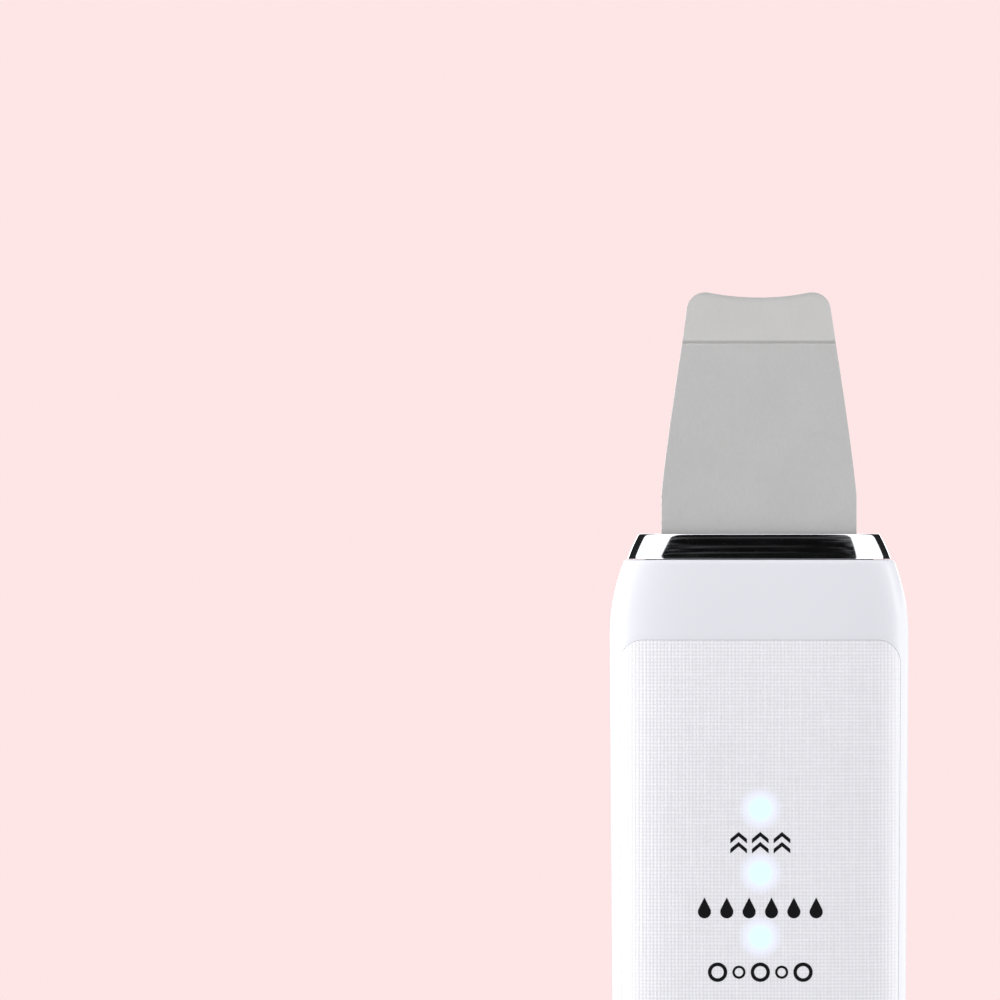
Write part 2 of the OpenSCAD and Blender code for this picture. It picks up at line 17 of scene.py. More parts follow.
import bmesh
import bpy
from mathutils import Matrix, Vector


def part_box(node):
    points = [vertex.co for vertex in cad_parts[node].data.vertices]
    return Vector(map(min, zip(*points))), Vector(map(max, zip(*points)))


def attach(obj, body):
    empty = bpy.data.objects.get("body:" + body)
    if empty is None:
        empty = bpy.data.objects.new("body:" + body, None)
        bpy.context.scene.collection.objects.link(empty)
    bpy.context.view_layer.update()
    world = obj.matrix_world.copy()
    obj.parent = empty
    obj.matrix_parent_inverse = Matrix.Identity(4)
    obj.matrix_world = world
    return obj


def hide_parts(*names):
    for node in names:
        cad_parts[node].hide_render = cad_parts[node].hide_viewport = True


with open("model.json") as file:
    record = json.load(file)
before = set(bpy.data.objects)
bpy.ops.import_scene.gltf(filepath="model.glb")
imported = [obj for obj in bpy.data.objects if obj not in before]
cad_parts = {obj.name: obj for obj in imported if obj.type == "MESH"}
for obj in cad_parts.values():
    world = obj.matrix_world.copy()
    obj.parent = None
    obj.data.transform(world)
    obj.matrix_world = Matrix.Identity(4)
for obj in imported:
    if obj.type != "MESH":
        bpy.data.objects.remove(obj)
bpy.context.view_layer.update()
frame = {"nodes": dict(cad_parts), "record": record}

MM = 0.001
SHARP_ANGLE = 35  # degrees; edges that turn by more stay sharp
WELD_DISTANCE = 2e-6  # metres; points nearer than this become one
SLIVER_LENGTH = 1e-7  # metres; shorter edges are dissolved
PLASTIC_IOR = 1.46

Point = tuple[float, float]
Colour = tuple[float, float, float]
Lift = Callable[[float, float, float], Vector]

log = logging.getLogger("scrubber")


class Side(Enum):
    """Which half of the handle a surface belongs to, as the sign of its Y."""

    FRONT = -1
    BACK = 1


class Body(Enum):
    """The rigid bodies of the frame."""

    HANDLE = "handle"
    POWER = "power_button"
    MODE = "mode_button"


class Symbol(Enum):
    """The plain signs on the two buttons."""

    POWER = "power"
    MODE = "mode"


class Sign(Enum):
    """The shapes that the printed signs beside the lights are made of."""

    CHEVRON = "chevron"
    DROP = "drop"
    BUBBLE = "bubble"


# ---------------------------------------------------------------- small helpers


def cad_box(node: str) -> tuple[Vector, Vector]:
    """Gives a CAD node's box.

    Args:
        node: Name of the node.

    Returns:
        Its lowest and highest corner, in millimetres.
    """
    low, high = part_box(node)
    return low / MM, high / MM


def cad_centre(node: str) -> Vector:
    """Gives the middle of a CAD node's box, in millimetres."""
    low, high = cad_box(node)
    return (low + high) / 2


def within_one(value: float) -> float:
    """Holds a value between 0 and 1."""
    return max(0.0, min(1.0, value))


def arc_sag(share: float) -> float:
    """Gives how far a quarter round of radius 1 has fallen away at a share of its run."""
    return 1 - math.sqrt(1 - within_one(share) ** 2)


def ease(share: float) -> float:
    """Eases a share of 0 to 1 in and out."""
    return share * share * (3 - 2 * share)


def spread(low: float, high: float, steps: int) -> list[float]:
    """Lists evenly spaced values.

    Args:
        low: First value.
        high: Last value.
        steps: Number of gaps between them.

    Returns:
        steps + 1 values.
    """
    return [low + (high - low) * i / steps for i in range(steps + 1)]


def round_steps(radius: float, steps: int = 4) -> list[Point]:
    """Lists the points of a rounded edge.

    Args:
        radius: Radius of the edge.
        steps: Number of chords.

    Returns:
        Pairs of setback from the wall and depth below the face, from the face to the wall.
    """
    turns = spread(0, math.pi / 2, steps)
    return [(radius * (1 - math.sin(turn)), radius * (1 - math.cos(turn))) for turn in turns]


# ---------------------------------------------------------------- shape of the handle


@dataclass(frozen=True)
class HandleForm:
    """The handle's outer shape: superellipse sections whose size changes with height.

    Each run is the stretch of height over which the section shrinks, and each drop is by how much.
    """

    height: float
    half_width_most: float
    front_most: float
    back_most: float
    squareness: float = 4.2
    taper_run: float = 13
    taper_slope: float = 0.0073
    head_run: float = 11
    head_drop: float = 2.2
    head_front_run: float = 30
    head_front_drop: float = 2.4
    head_back_run: float = 45
    head_back_drop: float = 2.6
    foot_run: float = 14
    foot_side_drop: float = 9.5
    foot_depth_run: float = 8
    foot_depth_drop: float = 3.6
    palm_run: float = 60
    palm_drop: float = 0.7

    def half_width(self, z: float) -> float:
        """Gives half of the handle's width at a height.

        Args:
            z: Height above the foot.

        Returns:
            The half width.
        """
        head = within_one(1 - (self.height - z) / self.head_run)
        foot = arc_sag(1 - z / self.foot_run)
        taper = self.taper_slope * max(0, self.height - self.taper_run - z)
        return self.half_width_most - taper - self.head_drop * head**2 - self.foot_side_drop * foot

    def depth(self, z: float, side: Side) -> float:
        """Gives the depth of one half of the handle, from the joint plane to its face.

        Args:
            z: Height above the foot.
            side: Front or back.

        Returns:
            The depth, always positive.
        """
        foot = self.foot_depth_drop * arc_sag(1 - z / self.foot_depth_run)
        if side is Side.FRONT:
            head = within_one(1 - (self.height - z) / self.head_front_run)
            return self.front_most - self.head_front_drop * head**2 - foot
        head = within_one(1 - (self.height - z) / self.head_back_run)
        palm = within_one(1 - z / self.palm_run)
        return self.back_most - self.head_back_drop * head**2 - self.palm_drop * palm**2 - foot

    def rise(self, share: float) -> float:
        """Gives the height of a superellipse of size 1 at a share of its other axis."""
        return (1 - min(1.0, abs(share)) ** self.squareness) ** (1 / self.squareness)

    def face(self, x: float, z: float, side: Side, inset: float = 0) -> Vector:
        """Gives the point of a face straight in front of (or behind) a place.

        Args:
            x: Place across the handle.
            z: Place up the handle.
            side: Front or back.
            inset: How far the whole section is pulled in.

        Returns:
            The point.
        """
        half = self.half_width(z) - inset
        return Vector((x, side.value * (self.depth(z, side) - inset) * self.rise(x / half), z))

    def lift(self, side: Side) -> Lift:
        """Gives the function that lays flat outlines on one face.

        Args:
            side: Front or back.

        Returns:
            A function of x, z and the depth below the face.
        """
        tiny = 0.02

        def place(x: float, z: float, depth: float) -> Vector:
            """Sinks a point of the face along the face's own normal.

            Args:
                x: Place across the handle.
                z: Place up the handle.
                depth: Depth below the face.

            Returns:
                The point.
            """
            across = self.face(x + tiny, z, side) - self.face(x - tiny, z, side)
            along = self.face(x, z + tiny, side) - self.face(x, z - tiny, side)
            outward = across.cross(along) * -side.value
            return self.face(x, z, side) - outward.normalized() * depth

        return place


@dataclass(frozen=True)
class Inlay:
    """The outline of a plate let into a face of the handle: straight-sided with rounded corners."""

    reach: Callable[[float], float]
    foot: float
    top: float
    foot_radius: float
    top_radius: float
    corner_steps: int = 12
    side_steps: int = 44
    columns: int = 36

    @property
    def row_count(self) -> int:
        """Number of rows of points."""
        return 2 * self.corner_steps + self.side_steps + 1

    def row(self, index: int, grow: float) -> Point:
        """Gives one row of the outline.

        Args:
            index: Row number, 0 at the foot.
            grow: How far the outline is grown all round.

        Returns:
            The half width and the height of the row.
        """
        last_side = self.corner_steps + self.side_steps
        if index < self.corner_steps:
            turn = math.pi / 2 * index / self.corner_steps
            radius = self.foot_radius + grow
            z = self.foot + self.foot_radius - radius * math.cos(turn)
            return self.reach(z) - self.foot_radius + radius * math.sin(turn), z
        if index > last_side:
            turn = math.pi / 2 * (index - last_side) / self.corner_steps
            radius = self.top_radius + grow
            z = self.top - self.top_radius + radius * math.sin(turn)
            return self.reach(z) - self.top_radius + radius * math.cos(turn), z
        share = (index - self.corner_steps) / self.side_steps
        start = self.foot + self.foot_radius
        z = start + (self.top - self.top_radius - start) * share
        return self.reach(z) + grow, z

    def grid(self, grow: float) -> list[list[Point]]:
        """Fills the outline with rows of points, from right to left.

        Args:
            grow: How far the outline is grown all round.

        Returns:
            The rows, from the foot up.
        """
        rows = []
        for index in range(self.row_count):
            half, z = self.row(index, grow)
            rows.append([(half * (1 - 2 * i / self.columns), z) for i in range(self.columns + 1)])
        return rows


# ---------------------------------------------------------------- mesh building


class MeshBuilder:
    """Collects points and faces in millimetres and turns them into one Blender object."""

    def __init__(self, name: str) -> None:
        """Starts an empty mesh.

        Args:
            name: Name of the piece.
        """
        self.name = name
        self.bm = bmesh.new()

    def points(self, places: Sequence[Vector]) -> list[bmesh.types.BMVert]:
        """Adds a row of points, given in millimetres."""
        return [self.bm.verts.new(Vector(place) * MM) for place in places]

    def quads(self, one: list, two: list, closed: bool = False) -> None:
        """Joins two rows of points with quads.

        Args:
            one: First row.
            two: Second row, of the same length.
            closed: Whether the rows are rings.
        """
        count = len(one)
        for i in range(count if closed else count - 1):
            j = (i + 1) % count
            self.bm.faces.new((one[i], one[j], two[j], two[i]))

    def rings(self, rings: Sequence[Sequence[Vector]]) -> None:
        """Joins closed rings into a tube whose last ring meets its first.

        Args:
            rings: The rings, each with the same number of points.
        """
        made = [self.points(ring) for ring in rings]
        for one, two in zip(made, made[1:] + made[:1]):
            self.quads(one, two, closed=True)

    def object(self, sharp_angle: float = SHARP_ANGLE) -> bpy.types.Object:
        """Cleans the mesh and makes the object.

        Args:
            sharp_angle: Edges that turn by more than this many degrees stay sharp.

        Returns:
            The new object, linked to the scene.
        """
        bmesh.ops.remove_doubles(self.bm, verts=self.bm.verts, dist=WELD_DISTANCE)
        bmesh.ops.dissolve_degenerate(self.bm, edges=self.bm.edges, dist=SLIVER_LENGTH)
        bmesh.ops.recalc_face_normals(self.bm, faces=self.bm.faces)
        mesh = bpy.data.meshes.new(self.name)
        self.bm.to_mesh(mesh)
        self.bm.free()
        mesh.shade_smooth()
        mesh.set_sharp_from_angle(angle=math.radians(sharp_angle))
        piece = bpy.data.objects.new(self.name, mesh)
        bpy.context.scene.collection.objects.link(piece)
        return piece


def loop_of(rows: list[list]) -> list:
    """Lists the items round the border of a grid.

    Args:
        rows: The rows of the grid.

    Returns:
        The border, in order.
    """
    first_column = [row[0] for row in rows[1:-1]]
    last_column = [row[-1] for row in rows[1:-1]]
    return rows[0] + last_column + rows[-1][::-1] + first_column[::-1]


def slab(
    name: str,
    grid: Callable[[float], list[list[Point]]],
    lift: Lift,
    thickness: float,
    edge: float,
    sunk: float = 0,
    both_edges: bool = False,
) -> bpy.types.Object:
    """Makes a closed plate with rounded edges.

    Args:
        name: Name of the piece.
        grid: Gives the outline's rows of points for a growth of the outline.
        lift: Lays a point of the outline at a depth below the face.
        thickness: Thickness of the plate.
        edge: Radius of the outer edge.
        sunk: Depth of the plate's face below the face it is laid on.
        both_edges: Whether the inner edge is rounded too.

    Returns:
        The piece.
    """
    builder = MeshBuilder(name)
    steps = [(-setback, sunk + depth) for setback, depth in round_steps(edge)]
    if both_edges:
        steps += [(grow, 2 * sunk + thickness - depth) for grow, depth in steps[::-1]]
    else:
        steps.append((0, sunk + thickness))

    def skin(grow: float, depth: float) -> list[list[bmesh.types.BMVert]]:
        """Adds one whole face of the plate.

        Args:
            grow: How far the face's outline is grown.
            depth: Its depth below the face it is laid on.

        Returns:
            Its rows of points.
        """
        rows = [builder.points([lift(x, z, depth) for x, z in row]) for row in grid(grow)]
        for one, two in zip(rows, rows[1:]):
            builder.quads(one, two)
        return rows

    outer = skin(*steps[0])
    inner = skin(*steps[-1])
    loops = [loop_of(outer)]
    for grow, depth in steps[1:-1]:
        loops.append(builder.points([lift(x, z, depth) for x, z in loop_of(grid(grow))]))
    loops.append(loop_of(inner))
    for one, two in zip(loops, loops[1:]):
        builder.quads(one, two, closed=True)
    return builder.object()


def lathe(name: str, profile: Sequence[Point], x: float, z: float, turns: int = 96) -> bpy.types.Object:
    """Turns a closed profile round an axis that points at the front.

    Args:
        name: Name of the piece.
        profile: Pairs of radius and Y, closed from last to first.
        x: Place of the axis across the handle.
        z: Place of the axis up the handle.
        turns: Number of steps round.

    Returns:
        The piece.
    """
    builder = MeshBuilder(name)
    turn = [2 * math.pi * i / turns for i in range(turns)]
    rings = [[Vector((x + r * math.cos(t), y, z + r * math.sin(t))) for t in turn] for r, y in profile]
    builder.rings(rings)
    return builder.object()


def cut(piece: bpy.types.Object, cutters: Sequence[bpy.types.Object]) -> None:
    """Cuts closed shapes out of a piece and removes the cutters.

    Args:
        piece: The piece to cut.
        cutters: The shapes to take away.
    """
    for cutter in cutters:
        step = piece.modifiers.new("opening", "BOOLEAN")
        step.object = cutter
        step.operation = "DIFFERENCE"
        step.solver = "EXACT"
    graph = bpy.context.evaluated_depsgraph_get()
    mesh = bpy.data.meshes.new_from_object(piece.evaluated_get(graph))
    piece.modifiers.clear()
    old = piece.data
    piece.data = mesh
    mesh.name = piece.name
    bpy.data.meshes.remove(old)
    mesh.shade_smooth()
    mesh.set_sharp_from_angle(angle=math.radians(SHARP_ANGLE))
    for cutter in cutters:
        bpy.data.meshes.remove(cutter.data)


def cutter(outline: Sequence[Vector], way: Vector) -> bpy.types.Object:
    """Makes a straight closed shape to cut with.

    Args:
        outline: Its first end.
        way: The way from its first end to its second.

    Returns:
        The cutter.
    """
    builder = MeshBuilder("cutter")
    ends = [builder.points([place + way * share for place in outline]) for share in (0, 1)]
    builder.quads(*ends, closed=True)
    for ring in ends:
        builder.bm.faces.new(ring)
    return builder.object()


def cutter_rod(x: float, z: float, radius: float, y0: float, y1: float) -> bpy.types.Object:
    """Makes a round cutter that lies along Y.

    Args:
        x: Place of its axis across the handle.
        z: Place of its axis up the handle.
        radius: Radius of the cutter.
        y0: Y of its front end.
        y1: Y of its back end.

    Returns:
        The cutter.
    """
    turns = spread(0, 2 * math.pi, 72)[:-1]
    outline = [Vector((x + radius * math.cos(turn), y0, z + radius * math.sin(turn))) for turn in turns]
    return cutter(outline, Vector((0, y1 - y0, 0)))


# ---------------------------------------------------------------- finishes


class Wiring:
    """Builds one node material in a few words."""

    def __init__(self, name: str) -> None:
        """Starts a material with its shader and its coordinates in millimetres.

        Args:
            name: Name of the material.
        """
        self.material = bpy.data.materials.new(name)
        self.material.use_nodes = True
        self.tree = self.material.node_tree
        self.shader = self.tree.nodes["Principled BSDF"]
        coordinates = self.tree.nodes.new("ShaderNodeTexCoord")
        scale = self.add("ShaderNodeVectorMath", operation="SCALE")
        self.link(coordinates.outputs["Object"], scale.inputs[0])
        scale.inputs["Scale"].default_value = 1 / MM
        self.place = scale.outputs[0]

    def add(self, kind: str, **settings: object) -> bpy.types.Node:
        """Adds a node and sets its properties.

        Args:
            kind: Blender's name of the node type.
            settings: The node's properties, by name.

        Returns:
            The node.
        """
        node = self.tree.nodes.new(kind)
        for key, value in settings.items():
            setattr(node, key, value)
        return node

    def link(self, source: bpy.types.NodeSocket, target: bpy.types.NodeSocket) -> None:
        """Joins two sockets."""
        self.tree.links.new(source, target)

    def math(self, operation: str, *values: object) -> bpy.types.NodeSocket:
        """Adds a sum.

        Args:
            operation: Blender's name of the operation.
            values: Sockets or numbers.

        Returns:
            The result's socket.
        """
        node = self.add("ShaderNodeMath", operation=operation)
        for socket, value in zip(node.inputs, values):
            if isinstance(value, (int, float)):
                socket.default_value = value
            else:
                self.link(value, socket)
        return node.outputs[0]

    def remap(
        self, value: bpy.types.NodeSocket, ends: Point, new_ends: Point, curve: str = "LINEAR"
    ) -> bpy.types.NodeSocket:
        """Maps a range onto another, held at its ends.

        Args:
            value: The value's socket.
            ends: Range it comes in.
            new_ends: Range it leaves with.
            curve: Blender's name of the way it passes between the ends.

        Returns:
            The result's socket.
        """
        node = self.add("ShaderNodeMapRange", interpolation_type=curve)
        self.link(value, node.inputs[0])
        for socket, number in zip(list(node.inputs)[1:5], (*ends, *new_ends)):
            socket.default_value = number
        return node.outputs[0]

    def vary(self, noise: bpy.types.NodeSocket, value: float, amount: float) -> bpy.types.NodeSocket:
        """Varies a number about itself with noise.

        Args:
            noise: The noise's socket, about 0.3 to 0.7.
            value: The number.
            amount: How far it strays.

        Returns:
            The varied number's socket.
        """
        reach = 2.5 * amount
        return self.remap(noise, (0, 1), (max(0.01, value - reach), value + reach))

    def noise(self, grain: Sequence[float], detail: float = 3) -> bpy.types.NodeSocket:
        """Adds noise whose grain may differ along the three axes.

        Args:
            grain: Size of the grain along X, Y and Z, in millimetres.
            detail: Number of finer layers.

        Returns:
            The noise's socket, about 0 to 1.
        """
        stretch = self.add("ShaderNodeVectorMath", operation="DIVIDE")
        self.link(self.place, stretch.inputs[0])
        stretch.inputs[1].default_value = tuple(grain)
        node = self.add("ShaderNodeTexNoise")
        self.link(stretch.outputs[0], node.inputs["Vector"])
        node.inputs["Scale"].default_value = 1
        node.inputs["Detail"].default_value = detail
        return node.outputs[0]

    def mix(self, share: bpy.types.NodeSocket, one: object, two: object) -> bpy.types.NodeSocket:
        """Mixes two colours.

        Args:
            share: Socket of the second colour's share.
            one: First colour, a socket or three numbers.
            two: Second colour, a socket or three numbers.

        Returns:
            The mixed colour's socket.
        """
        node = self.add("ShaderNodeMix", data_type="RGBA")
        self.link(share, node.inputs[0])
        for socket, value in ((node.inputs[6], one), (node.inputs[7], two)):
            if isinstance(value, tuple):
                socket.default_value = (*value, 1)
            else:
                self.link(value, socket)
        return node.outputs[2]

    def drift(self, share: bpy.types.NodeSocket, colour: Colour, amount: float) -> bpy.types.NodeSocket:
        """Varies a colour about itself.

        Args:
            share: Socket of the variation, 0 to 1.
            colour: The colour.
            amount: How far it strays, as a share of itself.

        Returns:
            The varied colour's socket.
        """
        dark = tuple(c * (1 - amount) for c in colour)
        light = tuple(min(1, c * (1 + amount)) for c in colour)
        return self.mix(share, dark, light)

    def bump(self, height: bpy.types.NodeSocket, depth: float) -> None:
        """Raises the surface's relief.

        Args:
            height: Socket of the relief, 0 to 1.
            depth: Height of the relief in millimetres.
        """
        node = self.add("ShaderNodeBump")
        node.inputs["Strength"].default_value = 1
        node.inputs["Distance"].default_value = depth * MM
        self.link(height, node.inputs["Height"])
        self.link(node.outputs[0], self.shader.inputs["Normal"])

    def uniform(self, **values: object) -> None:
        """Sets numbers and colours on the shader's own sockets.

        Args:
            values: The values, by the socket's name with _ for a space.
        """
        for name, value in values.items():
            socket = self.shader.inputs[name.replace("_", " ")]
            socket.default_value = (*value, 1) if isinstance(value, tuple) else value


@dataclass(frozen=True)
class Finish(ABC):
    """A surface finish that can make its own material."""

    name: str
    colour: Colour
    roughness: float

    @abstractmethod
    def material(self) -> bpy.types.Material:
        """Builds the material."""


@dataclass(frozen=True)
class Moulded(Finish):
    """Plastic, rubber, foam or ceramic: an even colour with a fine grain."""

    grain: float = 0.6
    colour_drift: float = 0.03
    roughness_drift: float = 0.05
    relief: float = 0.004
    coat: float = 0
    shine: float = 0.5
    coat_roughness: float = 0.08
    patch: float = 30

    def material(self) -> bpy.types.Material:
        """Builds the material, with patches of colour a number of grains wide.

        Returns:
            The material.
        """
        wiring = Wiring(self.name)
        sockets = wiring.shader.inputs
        fine = wiring.noise((self.grain,) * 3)
        broad = wiring.noise((self.grain * self.patch,) * 3, 1)
        wiring.link(wiring.drift(broad, self.colour, self.colour_drift), sockets["Base Color"])
        wiring.link(wiring.vary(fine, self.roughness, self.roughness_drift), sockets["Roughness"])
        wiring.bump(fine, self.relief)
        wiring.uniform(IOR=PLASTIC_IOR, Coat_Weight=self.coat, Coat_Roughness=self.coat_roughness)
        wiring.uniform(Specular_IOR_Level=self.shine)
        return wiring.material


@dataclass(frozen=True)
class Metal(Finish):
    """Bare or plated metal with a directional grain."""

    grain: tuple[float, float, float] = (0.05, 0.05, 4.0)
    colour_drift: float = 0.04
    roughness_drift: float = 0.05
    relief: float = 0.001
    patch: float = 9
    line_share: float = 0.6
    patch_share: float = 0.4

    def material(self) -> bpy.types.Material:
        """Builds the material, its colour varied by the grain's lines and by broad patches.

        Returns:
            The material.
        """
        wiring = Wiring(self.name)
        sockets = wiring.shader.inputs
        lines = wiring.noise(self.grain, 4)
        broad = wiring.noise((self.patch,) * 3, 2)
        patches = wiring.math("MULTIPLY", broad, self.patch_share)
        mottle = wiring.math("MULTIPLY_ADD", lines, self.line_share, patches)
        wiring.link(wiring.drift(mottle, self.colour, self.colour_drift), sockets["Base Color"])
        wiring.link(wiring.vary(lines, self.roughness, self.roughness_drift), sockets["Roughness"])
        wiring.bump(lines, self.relief)
        wiring.uniform(Metallic=1.0)
        return wiring.material


@dataclass(frozen=True)
class Woven(Finish):
    """Translucent panel moulded with a plain weave, lit from behind at a few places.

    The weave's gaps are darker in the colour than its threads: a painted shade in the weave's recesses.
    This painted shade fades out between the two distances from the middle that fade gives. Slubs are the
    thicker stretches of the threads. Each light shows as a core with a halo round it.
    """

    pitch: float = 0.53
    relief: float = 0.05
    # painted shade: the gaps' colour as a share of the threads', darker where the weave's recesses would be
    # in shade
    painted_gap_shade: float = 0.82
    fade: Point = (17.2, 20.4)
    core_radius: float = 1.75
    halo_radius: float = 3.7
    core_colour: Colour = (0.753, 0.991, 0.991)
    halo_colour: Colour = (0.84, 0.865, 1.0)
    lights: tuple[Point, ...] = ()
    slub_run: float = 7
    slub_depth: float = 60
    slub_share: float = 0.35
    crossing_share: float = 0.7
    edge_fade: float = 0.85
    core_blur: Point = (0.6, 0.5)
    lit_base: Colour = (0.02, 0.02, 0.02)
    gap_roughness: float = 0.5

    def weave(self, wiring: Wiring) -> bpy.types.NodeSocket:
        """Builds the height of the weave.

        Args:
            wiring: The material being built.

        Returns:
            Socket of the height, 0 in the gaps and 1 on the threads.
        """
        split = wiring.add("ShaderNodeSeparateXYZ")
        wiring.link(wiring.place, split.inputs[0])
        cells = [wiring.math("DIVIDE", split.outputs[axis], self.pitch) for axis in ("X", "Z")]
        crowns = []
        for cell in cells:
            inside = wiring.math("MULTIPLY", wiring.math("FRACT", cell), math.pi)
            crowns.append(wiring.math("SINE", inside))
        grains = ((self.pitch, self.slub_depth, self.slub_run), (self.slub_run, self.slub_depth, self.pitch))
        slubs = [wiring.remap(wiring.noise(grain, 1), (0.3, 0.7), (0, self.slub_share)) for grain in grains]
        dots = wiring.math("MULTIPLY", *crowns)
        threads = [wiring.math("MULTIPLY", crown, slub) for crown, slub in zip(crowns, slubs)]
        return wiring.math("MULTIPLY_ADD", dots, self.crossing_share, wiring.math("ADD", *threads))

    def glow_distance(self, wiring: Wiring) -> bpy.types.NodeSocket:
        """Measures how far a point of the panel is from the nearest light.

        Args:
            wiring: The material being built.

        Returns:
            Socket of the distance in millimetres.
        """
        nearest = None
        for x, z in self.lights:
            away = wiring.add("ShaderNodeVectorMath", operation="SUBTRACT")
            wiring.link(wiring.place, away.inputs[0])
            away.inputs[1].default_value = (x, 0, z)
            flat = wiring.add("ShaderNodeVectorMath", operation="MULTIPLY")
            wiring.link(away.outputs[0], flat.inputs[0])
            flat.inputs[1].default_value = (1, 0, 1)
            length = wiring.add("ShaderNodeVectorMath", operation="LENGTH")
            wiring.link(flat.outputs[0], length.inputs[0])
            distance = length.outputs["Value"]
            nearest = distance if nearest is None else wiring.math("MINIMUM", nearest, distance)
        return nearest

    def material(self) -> bpy.types.Material:
        """Builds the material: the weave's colour with painted shade in its gaps, its relief, and the
        lights' cores and halos.

        Returns:
            The material.
        """
        wiring = Wiring(self.name)
        sockets = wiring.shader.inputs
        height = self.weave(wiring)
        split = wiring.add("ShaderNodeSeparateXYZ")
        wiring.link(wiring.place, split.inputs[0])
        flat = wiring.remap(wiring.math("ABSOLUTE", split.outputs["X"]), self.fade, (0, self.edge_fade))
        shade = wiring.remap(height, (0, 1), (0, 1))
        # painted shade: the weave's gaps are darkened in the colour, and this painted shade fades to a
        # middle tone towards the sides
        gaps = tuple(c * self.painted_gap_shade for c in self.colour)
        middle = tuple(c * (1 + self.painted_gap_shade) / 2 for c in self.colour)
        shaded_weave_colour = wiring.mix(flat, wiring.mix(shade, gaps, self.colour), middle)
        distance = self.glow_distance(wiring)
        halo = wiring.remap(distance, (self.core_radius, self.halo_radius), (1, 0), "SMOOTHSTEP")
        rim = (self.core_radius - self.core_blur[0], self.core_radius + self.core_blur[1])
        core = wiring.remap(distance, rim, (1, 0), "SMOOTHSTEP")
        wiring.link(wiring.mix(halo, shaded_weave_colour, self.lit_base), sockets["Base Color"])
        wiring.link(wiring.mix(core, self.halo_colour, self.core_colour), sockets["Emission Color"])
        wiring.link(halo, sockets["Emission Strength"])
        wiring.link(wiring.remap(height, (0, 1), (self.gap_roughness, self.roughness)), sockets["Roughness"])
        wiring.bump(height, self.relief)
        wiring.uniform(IOR=PLASTIC_IOR)
        return wiring.material


@dataclass(frozen=True)
class Lamp(Finish):
    """A lit plastic part: a fine grain that glows."""

    strength: float = 1
    grain: float = 0.3
    colour_drift: float = 0.05
    glow_drift: float = 0.03

    def material(self) -> bpy.types.Material:
        """Builds the material.

        Returns:
            The material.
        """
        wiring = Wiring(self.name)
        sockets = wiring.shader.inputs
        grain = wiring.noise((self.grain,) * 3)
        wiring.link(wiring.drift(grain, self.colour, self.colour_drift), sockets["Base Color"])
        wiring.link(wiring.drift(grain, self.colour, self.glow_drift), sockets["Emission Color"])
        wiring.uniform(Emission_Strength=self.strength, Roughness=self.roughness)
        return wiring.material


